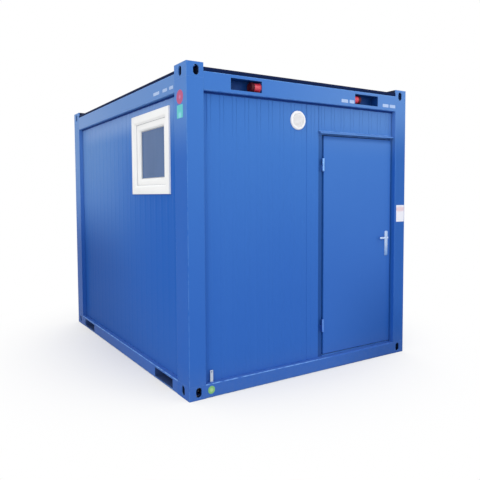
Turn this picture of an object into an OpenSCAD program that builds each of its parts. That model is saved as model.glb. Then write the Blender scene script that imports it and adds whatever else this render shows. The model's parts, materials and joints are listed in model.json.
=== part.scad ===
// A ten foot container cabin with one outward door, one window and a lifting frame.
// Millimetres, +Z up, origin at the bottom centre, door wall toward -Y.

/* [Overall] */
// Width over the corner blocks, side to side
cabin_w = 2438; // [2350:1:2600]
// Length over the corner blocks, door wall to back wall
cabin_l = 2991; // [2900:1:3300]
// Height over the corner blocks
cabin_h = 2591; // [2540:1:2800]

/* [Frame] */
// Width of a corner post seen from the door wall
post_w = 148; // [142:1:165]
// Width of a corner post seen from a long wall
post_l = 200; // [185:1:225]
// Depth of the frame profiles from the outer face to the room
frame_d = 100; // [97:1:115]
// Sheet thickness of the rolled frame profiles
frame_t = 4; // [3:0.5:5]
// Outer bend radius of the rolled frame profiles
bend_r = 8; // [5:0.5:10]
// Height of the floor beams
floor_beam_h = 110; // [106:1:125]
// Width of the ledge on top of a floor beam
ledge_w = 150; // [130:1:180]
// Width of the lower flange of a floor beam
toe_w = 50; // [30:1:80]
// Height of the roof beams
roof_beam_h = 145; // [135:1:160]
// Drop from the top of the corner blocks to the top of the roof beams
roof_drop = 61; // [55:1:75]

/* [Corner blocks] */
// Height of a top corner block
top_block_h = 112; // [108:1:125]
// Plate thickness of a corner block
block_t = 10; // [8:0.5:12]
// Thickness of the plates that close a top corner block toward the roof
inner_t = 6; // [4:0.5:8]
// Width of the upright slots in the outer faces
slot_w = 51; // [45:1:56]
// Height of the upright slots in the outer faces
slot_h = 79; // [70:0.5:82]
// Distance of an upright slot from the cabin corner on the end faces
slot_end_off = 84; // [78:1:90]
// Distance of an upright slot from the cabin corner on the long faces
slot_side_off = 104; // [98:1:112]
// Distance of the slot centres from the top or the bottom of the cabin
slot_off_z = 59; // [54:1:60]
// Width of the lifting hole in a top or bottom plate
lift_hole_w = 63; // [58:1:66]
// Length of the lifting hole in a top or bottom plate
lift_hole_l = 124; // [110:1:130]
// Distance of a lifting hole from the long face
lift_off_x = 89; // [85:1:95]
// Distance of a lifting hole from the end face
lift_off_y = 101.5; // [96:0.5:110]

/* [Floor] */
// Clear width of a fork pocket
fork_w = 352; // [320:1:380]
// Clear height of a fork pocket
fork_h = 80; // [70:1:82]
// Height of the fork pocket floor above the ground
fork_z = 12; // [10:1:16]
// Distance of a fork pocket from the cabin end
fork_off = 468; // [440:1:560]
// Wall thickness of a fork pocket tunnel
fork_t = 4; // [3:0.5:5]
// Number of cross members between the fork pockets
cross_n = 5; // [3:1:6]
// Width of a cross member
cross_w = 60; // [40:1:80]
// Height of a cross member
cross_h = 86; // [70:1:95]
// Sheet thickness of a cross member
cross_t = 3; // [2:0.5:5]
// Thickness of the floor deck
deck_t = 20; // [18:1:24]

/* [Roof] */
// Height of the black seal under the roof sheet
seal_h = 20; // [16:1:26]
// Width of the black seal under the roof sheet
seal_w = 60; // [40:1:80]
// Set-back of the seal and the roof sheet from the outer face
seal_inset = 5; // [3:1:9]
// Thickness of the roof sheet
roof_t = 3; // [2:0.5:4]
// Height of the folded lip on the front and back edges of the roof sheet
end_lip_h = 8; // [5:0.5:12]
// Number of standing seams on the roof sheet
seam_n = 5; // [3:1:7]
// Height of a standing seam
seam_h = 20; // [14:1:26]
// Thickness of a standing seam
seam_t = 10; // [6:1:14]
// Thickness of the ceiling panel
ceiling_t = 12; // [10:1:16]

/* [Walls] */
// Set-back of the wall sheets behind the outer face of the frame
wall_recess = 45; // [42:1:50]
// Width of the narrow panel that fills up a long wall
infill_w = 301; // [280:1:400]
// Spacing of the upright ribs
rib_pitch = 119; // [100:1:130]
// Foot width of a rib
rib_foot = 46; // [40:1:54]
// Crest width of a rib
rib_crest = 28; // [20:1:36]
// Height of a rib
rib_h = 2.5; // [2:0.5:6]
// Distance of the first rib from the left edge of a panel
rib_first = 68; // [50:1:75]
// Bare width kept at the right edge of a panel
rib_last = 32; // [30:1:60]
// Half width of the groove between two panels
joint_w = 4; // [2:0.5:6]
// Depth of the groove between two panels
joint_d = 3; // [2:0.5:8]

/* [Door] */
// Width of the door leaf
leaf_w = 873; // [800:1:900]
// Height of the wall panel over the door
over_door_h = 233; // [200:1:300]
// Thickness of the door leaf
leaf_t = 45; // [40:1:45]
// Set-back of the door leaf behind the outer face of the frame
leaf_recess = 40; // [38:1:42]
// Gap round the door leaf
door_gap = 8; // [7:0.5:10]
// Gap between the door leaf and its stop
stop_gap = 5; // [5:0.5:6]
// Overlap of the stop behind the door leaf
stop_w = 22; // [15:1:28]
// Width of the jamb at the hinges
hinge_jamb_w = 48; // [44:1:54]
// Width of the jamb at the lock
lock_jamb_w = 7; // [6:0.5:10]
// Set-back of the door frame behind the outer face
jamb_recess = 55; // [52:1:58]
// Height of the door head
head_h = 36; // [30:1:44]
// Height of the threshold
sill_h = 14; // [10:1:16]
// Width of the wall panel beside the door
beside_w = 140; // [120:1:160]
// Height of the rain rail over the door
rail_h = 26; // [20:1:30]
// Front edge of the rain rail behind the outer face
rail_inset = 20; // [12:1:30]
// Sheet thickness of the rain rail
rail_t = 3; // [2:0.5:4]

/* [Hinges] */
// Radius of a hinge barrel
barrel_r = 11; // [9:0.5:11.5]
// Height of a hinge
hinge_h = 108; // [90:1:130]
// Radius of a hinge pin
pin_r = 7; // [5:0.5:7]
// Running clearance of a pin in its bore
run_fit = 0.05; // [0.03:0.01:0.09]
// Gap between the two halves of a hinge
knuckle_gap = 1; // [0.6:0.1:2]
// Distance of the hinge axis from the door leaf edge
hinge_off = 18; // [16:0.5:19]
// Set-back of the hinge axis behind the outer face
hinge_recess = 27; // [24:0.5:28]
// Width of the plates that carry the barrels
hinge_plate_w = 12; // [8:1:12]
// Height of the lower hinge above the leaf bottom
hinge_low = 268; // [200:1:400]
// Drop of the upper hinge below the leaf top
hinge_high = 258; // [200:1:400]

/* [Lock] */
// Height of the lever axis above the leaf bottom
lever_z = 1028; // [950:1:1100]
// Distance of the lever axis from the leaf edge
backset = 58; // [50:1:70]
// Distance from the lever axis down to the key cylinder
lock_pitch = 72; // [70:1:92]
// Width of a lock plate
plate_w = 42; // [34:1:50]
// Height of a lock plate
plate_h = 244; // [225:1:260]
// Thickness of a lock plate
plate_t = 6; // [4:0.5:7]
// Radius of the lever spindle
spindle_r = 8; // [6:0.5:9]
// Radius of the lever neck
neck_r = 9; // [7:0.5:10]
// Length of the lever neck
neck_l = 20; // [16:0.5:21]
// Length of the lever from its axis to its tip
lever_l = 118; // [95:1:130]
// Height of the lever bar
lever_h = 20; // [18:0.5:24]
// Thickness of the lever bar
lever_t = 10; // [7:0.5:11]
// Radius of the key cylinder
key_r = 8.5; // [7:0.5:9]
// Fit of a piece pushed into a hole
seat_fit = 0.2; // [0.1:0.05:0.3]

/* [Window] */
// Width of the window frame
window_w = 800; // [700:1:820]
// Height of the window frame
window_h = 718; // [600:1:740]
// Drop of the window below the roof beam
window_drop = 67; // [50:1:100]
// Set-back of the window frame behind the outer face
window_recess = 29; // [26:1:34]
// Bar width of the window frame
window_bar = 80; // [60:1:90]
// Set-back of the sash behind the window frame
sash_recess = 20; // [14:1:24]
// Bar width of the sash
sash_bar = 60; // [52:1:68]
// Depth of the sash
sash_d = 44; // [40:1:48]
// Set-back of the glass behind the sash
glass_recess = 25; // [18:1:27]
// Thickness of the glass unit
glass_t = 8; // [4:1:12]
// Depth of the glass edge in the sash groove
glass_edge = 12; // [8:1:16]
// Length of the window frame that shows in the room
window_lip = 4; // [2:0.5:8]

/* [Fittings] */
// Radius of the vent cover
vent_r = 82; // [70:1:86]
// Radius of the vent pipe
vent_pipe_r = 50; // [40:1:55]
// Wall thickness of the vent pipe
vent_pipe_t = 3; // [2:0.5:4]
// Thickness of the vent cover
vent_h = 20; // [14:1:26]
// Distance of the vent from the panel joint
vent_off = 101; // [95:1:130]
// Drop of the vent below the roof beam
vent_drop = 159; // [130:1:300]
// Clear width of a socket recess
socket_w = 300; // [260:1:320]
// Clear height of a socket recess
socket_h = 92; // [86:1:100]
// Clear depth of a socket recess
socket_d = 86; // [80:1:88]
// Sheet thickness of a socket box
socket_t = 2; // [1.5:0.5:3]
// Distance of a socket recess from the cabin corner
socket_off = 544; // [480:1:600]
// Radius of a power plug body
plug_r = 36; // [30:1:38]
// Radius of a power plug lid
plug_lid_r = 41; // [38:1:42]
// Length of a power plug
plug_l = 92; // [80:1:110]
// Length of a power plug lid
plug_lid_l = 14; // [10:1:18]
// Distance of the earth lug from the cabin corner
lug_off = 200; // [180:1:240]
// Width of the earth lug
lug_w = 26; // [22:1:34]
// Height of the earth lug
lug_h = 97; // [80:1:110]
// Thickness of the earth lug
lug_t = 5; // [4:0.5:8]
// Radius of the hole in the earth lug
lug_hole_r = 5.5; // [4:0.5:6.5]

/* [Hidden] */
$fn = 64;
// Reach of a cutting tool past the face it cuts
over = 1;
half_w = cabin_w / 2;
half_l = cabin_l / 2;
floor_z = floor_beam_h;
roof_z1 = cabin_h - roof_drop;
roof_z0 = roof_z1 - roof_beam_h;
block_z = cabin_h - top_block_h;
ceiling_z = block_z - ceiling_t;
seal_z1 = roof_z1 + seal_h;
front_u1 = cabin_w - post_w;
side_u1 = cabin_l - post_l;
panel_w = (side_u1 - post_l - infill_w) / 2;
fork_spacing = cabin_l - 2 * fork_off;
cross_pitch = (fork_spacing - fork_w - 2 * fork_t) / (cross_n + 1);
seam_pitch = (side_u1 - post_l) / (seam_n + 1);
leaf_u1 = front_u1 - lock_jamb_w - door_gap;
leaf_u0 = leaf_u1 - leaf_w;
jamb_u1 = leaf_u0 - door_gap;
jamb_u0 = jamb_u1 - hinge_jamb_w;
joint_u = jamb_u0 - beside_w;
leaf_z0 = floor_z + sill_h + door_gap;
head_z1 = roof_z0 - over_door_h;
head_z0 = head_z1 - head_h;
leaf_z1 = head_z0 - door_gap;
leaf_v1 = leaf_recess + leaf_t;
stop_v = leaf_v1 + stop_gap;
hinge_u = leaf_u0 - hinge_off;
hinge_zs = [leaf_z0 + hinge_low, leaf_z1 - hinge_high];
lever_u = leaf_u1 - backset;
lever_axis_z = leaf_z0 + lever_z;
key_z = lever_axis_z - lock_pitch;
plate_z = (lever_axis_z + key_z) / 2 - lever_h;
plate_v = leaf_recess - plate_t;
window_u = cabin_l - post_l - panel_w / 2;
window_z = roof_z0 - window_drop - window_h / 2;
sash_v = window_recess + sash_recess;
glass_v = sash_v + glass_recess;
vent_u = joint_u - vent_off;
vent_z = roof_z0 - vent_drop;
socket_z = roof_z0 + roof_beam_h / 2;

// Local frames: x runs right along a wall seen from outside, y runs into the cabin.
module on_front()
    translate([-half_w, -half_l, 0])
        children();

module on_right()
    translate([half_w, -half_l, 0])
        rotate([0, 0, 90])
            children();

module on_back()
    translate([half_w, half_l, 0])
        rotate([0, 0, 180])
            children();

module on_left()
    translate([-half_w, half_l, 0])
        rotate([0, 0, 270])
            children();

module flipped(yes) {
    if (yes)
        mirror([1, 0, 0])
            children();
    else
        children();
}

// Places a corner drawn from its outer edge at one of the four cabin corners.
module at_corner(right, back)
    rotate([0, 0, back ? 180 : 0])
        flipped(right != back)
            translate([-half_w, -half_l, 0])
                children();

module box(p, q)
    translate(p)
        cube(q - p);

// Runs an outline of depth and height along a wall.
module along(u0, u1)
    translate([u0, 0, 0])
        rotate([90, 0, 90])
            linear_extrude(height = u1 - u0)
                children();

// Runs a round bar into a wall.
module pin_in(u, z, v0, v1, r)
    translate([u, v0, z])
        rotate([-90, 0, 0])
            cylinder(r = r, h = v1 - v0);

// What a bend takes away from a sharp corner at the origin.
module bend_cut()
    difference() {
        translate([-over, -over])
            square(bend_r + over);
        translate([bend_r, bend_r])
            circle(bend_r);
    }

module slot_outline(w, l) {
    square([w, l - w], center = true);
    for (side = [-1, 1])
        translate([0, side * (l - w) / 2])
            circle(w / 2);
}

module post_outline()
    difference() {
        union() {
            square([post_w, frame_d]);
            square([frame_d, post_l]);
        }
        bend_cut();
    }

module floor_beam_outline()
    difference() {
        union() {
            square([frame_t, floor_beam_h]);
            square([toe_w, frame_t]);
            translate([0, floor_beam_h - frame_t])
                square([ledge_w, frame_t]);
        }
        bend_cut();
        translate([0, floor_beam_h])
            mirror([0, 1, 0])
                bend_cut();
    }

module roof_beam_outline()
    translate([0, roof_z0])
        difference() {
            square([frame_d, roof_beam_h]);
            translate([frame_t, frame_t])
                square([frame_d - 2 * frame_t, roof_beam_h - 2 * frame_t]);
            bend_cut();
            translate([0, roof_beam_h])
                mirror([0, 1, 0])
                    bend_cut();
        }

// The end plate of a corner block, with its upright slot.
module block_end_plate(h, slot_z)
    difference() {
        linear_extrude(height = h)
            difference() {
                square([post_w, block_t]);
                bend_cut();
            }
        translate([slot_end_off, block_t + over, slot_z])
            rotate([90, 0, 0])
                linear_extrude(height = block_t + 2 * over)
                    slot_outline(slot_w, slot_h);
    }

// A plate box behind the end plate, open on its two room sides, with a slot in its long face.
module corner_block(h, slot_z, hole_z)
    difference() {
        box([0, block_t, 0], [post_w, post_l, h]);
        box([block_t, block_t - over, block_t], [post_w + over, post_l + over, h - block_t]);
        translate([-over, slot_side_off, slot_z])
            rotate([90, 0, 90])
                linear_extrude(height = block_t + 2 * over)
                    slot_outline(slot_w, slot_h);
        translate([lift_off_x, lift_off_y, hole_z - over])
            linear_extrude(height = block_t + 2 * over)
                slot_outline(lift_hole_w, lift_hole_l);
    }

// Two plates that meet in a corner and close a block on its room sides, up to its top.
module block_inner_plates(h)
    difference() {
        box([block_t, block_t, block_t], [post_w, post_l, h]);
        box([block_t - over, block_t - over, 0], [post_w - inner_t, post_l - inner_t, h + over]);
    }

// The room for those plates in the top plate of a block.
module inner_plate_room(h) {
    box([post_w - inner_t, block_t - over, h - block_t - over], [post_w + over, post_l + over, h + over]);
    box([block_t, post_l - inner_t, h - block_t - over], [post_w + over, post_l + over, h + over]);
}

module at_bottom_corners()
    for (right = [false, true], back = [false, true])
        at_corner(right, back)
            children();

module at_top_corners()
    at_bottom_corners()
        translate([0, 0, block_z])
            children();

module bottom_corner_blocks()
    color("#1f5fae")
        at_bottom_corners()
            corner_block(floor_beam_h, slot_off_z, 0);

module bottom_block_end_plates()
    color("#1f5fae")
        at_bottom_corners()
            block_end_plate(floor_beam_h, slot_off_z);

module top_corner_blocks()
    color("#1f5fae")
        at_top_corners()
            difference() {
                corner_block(top_block_h, top_block_h - slot_off_z, top_block_h - block_t);
                inner_plate_room(top_block_h);
            }

module top_block_end_plates()
    color("#1f5fae")
        at_top_corners()
            block_end_plate(top_block_h, top_block_h - slot_off_z);

module top_block_inner_plates()
    color("#16233f")
        at_top_corners()
            block_inner_plates(top_block_h);

module corner_post(right, back)
    color("#2463b2")
        at_corner(right, back)
            translate([0, 0, floor_beam_h])
                linear_extrude(height = block_z - floor_beam_h)
                    post_outline();

module post_front_left()
    corner_post(false, false);

module post_front_right()
    corner_post(true, false);

module post_back_left()
    corner_post(false, true);

module post_back_right()
    corner_post(true, true);

module floor_beam_front()
    color("#1f5fae")
        on_front()
            along(post_w, front_u1)
                floor_beam_outline();

module floor_beam_back()
    color("#1f5fae")
        on_back()
            along(post_w, front_u1)
                floor_beam_outline();

// A long floor beam with the two fork pocket mouths cut through its web.
module long_floor_beam()
    color("#1f5fae")
        difference() {
            along(post_l, side_u1)
                floor_beam_outline();
            for (side = [-1, 1])
                translate([half_l + side * fork_spacing / 2, 0, fork_z])
                    box([-fork_w / 2, -over, 0], [fork_w / 2, frame_t + over, fork_h]);
        }

module floor_beam_left()
    on_left()
        long_floor_beam();

module floor_beam_right()
    on_right()
        long_floor_beam();

module roof_beam_front()
    color("#2463b2")
        on_front()
            difference() {
                along(post_w, front_u1)
                    roof_beam_outline();
                for (u = [socket_off, cabin_w - socket_off])
                    translate([u, 0, socket_z])
                        box([-socket_w / 2, -over, -socket_h / 2], [socket_w / 2, frame_t + over, socket_h / 2]);
            }

module roof_beam_back()
    color("#2463b2")
        on_back()
            along(post_w, front_u1)
                roof_beam_outline();

module roof_beam_left()
    color("#2463b2")
        on_left()
            along(post_l, side_u1)
                roof_beam_outline();

module roof_beam_right()
    color("#2463b2")
        on_right()
            along(post_l, side_u1)
                roof_beam_outline();

module fork_tunnel(side)
    color("#1a4f93")
        translate([0, side * fork_spacing / 2, fork_z])
            difference() {
                box([frame_t - half_w, -fork_w / 2 - fork_t, -fork_t],
                    [half_w - frame_t, fork_w / 2 + fork_t, fork_h + fork_t]);
                box([-half_w, -fork_w / 2, 0], [half_w, fork_w / 2, fork_h]);
            }

module fork_tunnel_front()
    fork_tunnel(-1);

module fork_tunnel_back()
    fork_tunnel(1);

module floor_cross_members()
    color("#8d9499")
        for (k = [0 : cross_n - 1])
            translate([0, (k - (cross_n - 1) / 2) * cross_pitch, floor_z - frame_t - cross_h])
                difference() {
                    box([frame_t - half_w, -cross_w / 2, 0], [half_w - frame_t, cross_w / 2, cross_h]);
                    box([-half_w, cross_t - cross_w / 2, -over],
                        [half_w, cross_w / 2 - cross_t, cross_h - cross_t]);
                }

module floor_sheet()
    color("#b4babd")
        box([ledge_w - half_w, ledge_w - half_l, floor_z - frame_t],
            [half_w - ledge_w, half_l - ledge_w, floor_z]);

module floor_deck()
    color("#8b8f90")
        box([frame_d - half_w, frame_d - half_l, floor_z],
            [half_w - frame_d, half_l - frame_d, floor_z + deck_t]);

module seal_strip(u0, u1)
    box([u0, seal_inset, roof_z1], [u1, seal_inset + seal_w, seal_z1]);

module roof_seals()
    color("#15181c") {
        on_front()
            seal_strip(post_w, front_u1);
        on_back()
            seal_strip(post_w, front_u1);
        on_left()
            seal_strip(post_l, side_u1);
        on_right()
            seal_strip(post_l, side_u1);
    }

// The sheet is notched for the corner blocks and folded up into standing seams and end lips.
module roof_sheet()
    color("#b9bec0") {
        box([post_w - half_w, seal_inset - half_l, seal_z1],
            [half_w - post_w, half_l - seal_inset, seal_z1 + roof_t]);
        box([seal_inset - half_w, post_l - half_l, seal_z1],
            [half_w - seal_inset, half_l - post_l, seal_z1 + roof_t]);
        for (back = [false, true])
            rotate([0, 0, back ? 180 : 0])
                box([post_w - half_w, seal_inset - half_l, seal_z1],
                    [half_w - post_w, seal_inset + roof_t - half_l, seal_z1 + roof_t + end_lip_h]);
        for (k = [0 : seam_n - 1])
            translate([0, (k - (seam_n - 1) / 2) * seam_pitch, seal_z1])
                box([post_w - half_w, -seam_t / 2, 0], [half_w - post_w, seam_t / 2, roof_t + seam_h]);
    }

module ceiling_panel()
    color("#e8e9e6")
        box([frame_d - half_w, frame_d - half_l, ceiling_z],
            [half_w - frame_d, half_l - frame_d, ceiling_z + ceiling_t]);

function rib_points(u) = [
    [u - rib_foot / 2, wall_recess],
    [u - rib_crest / 2, wall_recess - rib_h],
    [u + rib_crest / 2, wall_recess - rib_h],
    [u + rib_foot / 2, wall_recess]
];

// A wall panel with upright ribs on its outer sheet and a groove at each edge.
module ribbed_panel(u0, u1, z0, first = rib_first) {
    last_rib = floor((u1 - u0 - first - rib_last) / rib_pitch);
    translate([0, 0, z0])
        linear_extrude(height = roof_z0 - z0)
            polygon(concat(
                [[u0, frame_d], [u0, wall_recess + joint_d], [u0 + joint_w, wall_recess]],
                [for (k = [0 : last_rib]) each rib_points(u0 + first + k * rib_pitch)],
                [[u1 - joint_w, wall_recess], [u1, wall_recess + joint_d], [u1, frame_d]]
            ));
}

// The vent needs a hole and a flat seat pressed into the ribs.
module front_panel_left()
    color("#2a69b8")
        on_front()
            difference() {
                ribbed_panel(post_w, joint_u, floor_z);
                pin_in(vent_u, vent_z, 0, frame_d + over, vent_pipe_r + seat_fit);
                pin_in(vent_u, vent_z, 0, wall_recess, vent_r + over);
            }

module front_panel_beside_door()
    color("#2a69b8")
        on_front()
            ribbed_panel(joint_u, jamb_u0, floor_z);

module front_panel_over_door()
    color("#2a69b8")
        on_front()
            ribbed_panel(jamb_u0, front_u1, head_z1, rib_first + rib_pitch - beside_w);

module left_panel_window()
    color("#2a69b8")
        on_left()
            difference() {
                ribbed_panel(side_u1 - panel_w, side_u1, floor_z);
                translate([window_u, 0, window_z])
                    box([-window_w / 2 - seat_fit, 0, -window_h / 2 - seat_fit],
                        [window_w / 2 + seat_fit, frame_d + over, window_h / 2 + seat_fit]);
            }

module left_panel_middle()
    color("#2a69b8")
        on_left()
            ribbed_panel(post_l + infill_w, side_u1 - panel_w, floor_z);

module left_panel_infill()
    color("#2a69b8")
        on_left()
            ribbed_panel(post_l, post_l + infill_w, floor_z);

module right_panel_front()
    color("#2a69b8")
        on_right()
            ribbed_panel(post_l, post_l + panel_w, floor_z);

module right_panel_middle()
    color("#2a69b8")
        on_right()
            ribbed_panel(post_l + panel_w, post_l + 2 * panel_w, floor_z);

module right_panel_infill()
    color("#2a69b8")
        on_right()
            ribbed_panel(post_l + 2 * panel_w, side_u1, floor_z);

module back_panel_left()
    color("#2a69b8")
        on_back()
            ribbed_panel(post_w, half_w, floor_z);

module back_panel_right()
    color("#2a69b8")
        on_back()
            ribbed_panel(half_w, front_u1, floor_z);

module door_jamb_hinges()
    color("#1d559f")
        on_front() {
            box([jamb_u0, jamb_recess, floor_z], [jamb_u1, frame_d, head_z0]);
            box([jamb_u1, stop_v, floor_z + sill_h], [leaf_u0 + stop_w, frame_d, head_z0]);
        }

module door_jamb_lock()
    color("#1d559f")
        on_front() {
            box([front_u1 - lock_jamb_w, jamb_recess, floor_z], [front_u1, frame_d, head_z0]);
            box([leaf_u1 - stop_w, stop_v, floor_z + sill_h],
                [front_u1 - lock_jamb_w, frame_d, head_z0]);
        }

module door_head()
    color("#1d559f")
        on_front() {
            box([jamb_u0, jamb_recess, head_z0], [front_u1, frame_d, head_z1]);
            box([leaf_u0 + stop_w, stop_v, leaf_z1 - stop_w], [leaf_u1 - stop_w, frame_d, head_z0]);
        }

module door_threshold()
    color("#9aa1a5")
        on_front()
            box([jamb_u1, wall_recess, floor_z], [front_u1 - lock_jamb_w, frame_d, floor_z + sill_h]);

// A folded strip that slopes out and down from the door head.
module rain_rail()
    color("#2463b2")
        on_front()
            along(jamb_u0, front_u1)
                polygon([
                    [jamb_recess, head_z1],
                    [jamb_recess - rail_t, head_z1],
                    [rail_inset, head_z1 - rail_h / 2],
                    [rail_inset, head_z1 - rail_h],
                    [rail_inset + rail_t, head_z1 - rail_h],
                    [rail_inset + rail_t, head_z1 - rail_h / 2 - rail_t],
                    [jamb_recess, head_z1 - 2 * rail_t]
                ]);

module door_leaf()
    color("#2a6cbd")
        on_front()
            difference() {
                box([leaf_u0, leaf_recess, leaf_z0], [leaf_u1, leaf_v1, leaf_z1]);
                pin_in(lever_u, lever_axis_z, 0, leaf_v1 + over, spindle_r + over);
                pin_in(lever_u, key_z, 0, leaf_v1 + over, key_r + seat_fit);
            }

// The lower barrel carries the pin and a plate back to the jamb.
module hinge_frame_halves()
    color("#c9ced0")
        on_front()
            for (z = hinge_zs)
                translate([hinge_u, hinge_recess, z]) {
                    translate([0, 0, -hinge_h / 2])
                        cylinder(r = barrel_r, h = (hinge_h - knuckle_gap) / 2);
                    translate([0, 0, -over])
                        cylinder(r = pin_r, h = hinge_h / 2 - over);
                    box([-hinge_plate_w / 2, 0, -hinge_h / 2],
                        [hinge_plate_w / 2, jamb_recess - hinge_recess, -knuckle_gap / 2]);
                }

// The upper barrel turns on the pin and reaches the edge of the leaf.
module hinge_leaf_halves()
    color("#c9ced0")
        on_front()
            for (z = hinge_zs)
                translate([hinge_u, hinge_recess, z + knuckle_gap / 2])
                    difference() {
                        union() {
                            cylinder(r = barrel_r, h = (hinge_h - knuckle_gap) / 2);
                            box([0, leaf_recess - hinge_recess - hinge_plate_w / 2, 0],
                                [hinge_off, leaf_recess - hinge_recess + hinge_plate_w / 2,
                                 (hinge_h - knuckle_gap) / 2]);
                        }
                        translate([0, 0, -over])
                            cylinder(r = pin_r + run_fit, h = hinge_h);
                    }

module lock_plates()
    color("#b9bec1")
        on_front()
            for (v = [plate_v, leaf_v1])
                difference() {
                    box([lever_u - plate_w / 2, v, plate_z - plate_h / 2],
                        [lever_u + plate_w / 2, v + plate_t, plate_z + plate_h / 2]);
                    pin_in(lever_u, lever_axis_z, v - over, v + plate_t + over, spindle_r + run_fit);
                    pin_in(lever_u, key_z, v - over, v + plate_t + over, key_r + seat_fit);
                }

module key_cylinder()
    color("#d2c08a")
        on_front()
            pin_in(lever_u, key_z, plate_v - over, leaf_v1 + plate_t + over, key_r);

// One lever bar with its neck, standing off a lock plate.
module lever_arm(v_neck, v_bar) {
    pin_in(lever_u, lever_axis_z, v_neck, v_neck + neck_l, neck_r);
    pin_in(lever_u, lever_axis_z, v_bar, v_bar + lever_t, lever_h / 2);
    pin_in(lever_u - lever_l + lever_h / 2, lever_axis_z, v_bar, v_bar + lever_t, lever_h / 2);
    box([lever_u - lever_l + lever_h / 2, v_bar, lever_axis_z - lever_h / 2],
        [lever_u, v_bar + lever_t, lever_axis_z + lever_h / 2]);
}

module door_lever()
    color("#b4b9bc")
        on_front() {
            pin_in(lever_u, lever_axis_z, plate_v - neck_l, leaf_v1 + plate_t + neck_l, spindle_r);
            lever_arm(plate_v - neck_l - knuckle_gap, plate_v - neck_l - lever_t);
            lever_arm(leaf_v1 + plate_t + knuckle_gap, leaf_v1 + plate_t + neck_l);
        }

// A rectangular ring of bars standing in the window opening.
module window_ring(w, h, bar, v0, v1)
    difference() {
        box([-w / 2, v0, -h / 2], [w / 2, v1, h / 2]);
        box([bar - w / 2, v0 - over, bar - h / 2], [w / 2 - bar, v1 + over, h / 2 - bar]);
    }

module on_window()
    on_left()
        translate([window_u, 0, window_z])
            children();

module window_frame()
    color("#f1f2f0")
        on_window()
            window_ring(window_w, window_h, window_bar, window_recess, frame_d + window_lip);

module window_sash()
    color("#f4f5f3")
        on_window() {
            sash_w = window_w - 2 * window_bar - 2 * seat_fit;
            sash_h = window_h - 2 * window_bar - 2 * seat_fit;
            glass_w = sash_w - 2 * sash_bar + 2 * glass_edge + 2 * seat_fit;
            glass_h = sash_h - 2 * sash_bar + 2 * glass_edge + 2 * seat_fit;
            difference() {
                window_ring(sash_w, sash_h, sash_bar, sash_v, sash_v + sash_d);
                box([-glass_w / 2, glass_v - seat_fit, -glass_h / 2],
                    [glass_w / 2, glass_v + glass_t + seat_fit, glass_h / 2]);
            }
        }

module window_glass()
    color("#9fb0c4")
        on_window() {
            pane_w = window_w - 2 * window_bar - 2 * seat_fit - 2 * sash_bar + 2 * glass_edge;
            pane_h = window_h - 2 * window_bar - 2 * seat_fit - 2 * sash_bar + 2 * glass_edge;
            box([-pane_w / 2, glass_v, -pane_h / 2], [pane_w / 2, glass_v + glass_t, pane_h / 2]);
        }

module vent_pipe()
    color("#8f969b")
        on_front()
            difference() {
                pin_in(vent_u, vent_z, wall_recess, frame_d + window_lip, vent_pipe_r);
                pin_in(vent_u, vent_z, wall_recess - over, frame_d + window_lip + over,
                       vent_pipe_r - vent_pipe_t);
            }

// A round hood with a stepped rim and a deep groove round its face plate.
module vent_cover()
    color("#eef0ef")
        on_front()
            translate([vent_u, wall_recess, vent_z])
                rotate([90, 0, 0])
                    rotate_extrude()
                        polygon([
                            [0, vent_h / 2],
                            [vent_pipe_r, vent_h / 2],
                            [vent_pipe_r, 0],
                            [vent_r, 0],
                            [vent_r, vent_h / 4],
                            [vent_r - vent_h / 4, vent_h / 2],
                            [vent_pipe_r + vent_h / 2, vent_h / 2],
                            [vent_pipe_r + vent_h / 4, vent_h],
                            [0, vent_h]
                        ]);

module socket_boxes()
    color("#1d559f")
        on_front()
            for (u = [socket_off, cabin_w - socket_off])
                translate([u, frame_t, socket_z])
                    difference() {
                        box([-socket_w / 2 - socket_t, 0, -socket_h / 2 - socket_t],
                            [socket_w / 2 + socket_t, socket_d + socket_t, socket_h / 2 + socket_t]);
                        box([-socket_w / 2, -over, -socket_h / 2], [socket_w / 2, socket_d, socket_h / 2]);
                    }

// A round plug body on the inner end wall of a socket box, its lid toward the corner.
module power_plug()
    translate([socket_w / 2, frame_t + socket_d - plug_lid_r - over, 0])
        rotate([0, -90, 0]) {
            cylinder(r = plug_r, h = plug_l - plug_lid_l);
            translate([0, 0, plug_l - plug_lid_l])
                cylinder(r = plug_lid_r, h = plug_lid_l);
        }

module power_plugs()
    color("#c8322f")
        on_front() {
            translate([socket_off, 0, socket_z])
                power_plug();
            translate([cabin_w - socket_off, 0, socket_z])
                mirror([1, 0, 0])
                    power_plug();
        }

module earth_lug()
    color("#b9bec1")
        on_front()
            translate([lug_off, wall_recess / 2, floor_z])
                difference() {
                    box([0, 0, 0], [lug_w, lug_t, lug_h]);
                    pin_in(lug_w / 2, lug_h - lug_w / 2, -over, lug_t + over, lug_hole_r);
                }

bottom_corner_blocks();
bottom_block_end_plates();
top_corner_blocks();
top_block_end_plates();
top_block_inner_plates();
post_front_left();
post_front_right();
post_back_left();
post_back_right();
floor_beam_front();
floor_beam_back();
floor_beam_left();
floor_beam_right();
roof_beam_front();
roof_beam_back();
roof_beam_left();
roof_beam_right();
fork_tunnel_front();
fork_tunnel_back();
floor_cross_members();
floor_sheet();
floor_deck();
roof_seals();
roof_sheet();
ceiling_panel();
front_panel_left();
front_panel_beside_door();
front_panel_over_door();
left_panel_window();
left_panel_middle();
left_panel_infill();
right_panel_front();
right_panel_middle();
right_panel_infill();
back_panel_left();
back_panel_right();
door_jamb_hinges();
door_jamb_lock();
door_head();
door_threshold();
rain_rail();
door_leaf();
hinge_frame_halves();
hinge_leaf_halves();
lock_plates();
key_cylinder();
door_lever();
window_frame();
window_sash();
window_glass();
vent_pipe();
vent_cover();
socket_boxes();
power_plugs();
earth_lug();
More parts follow.
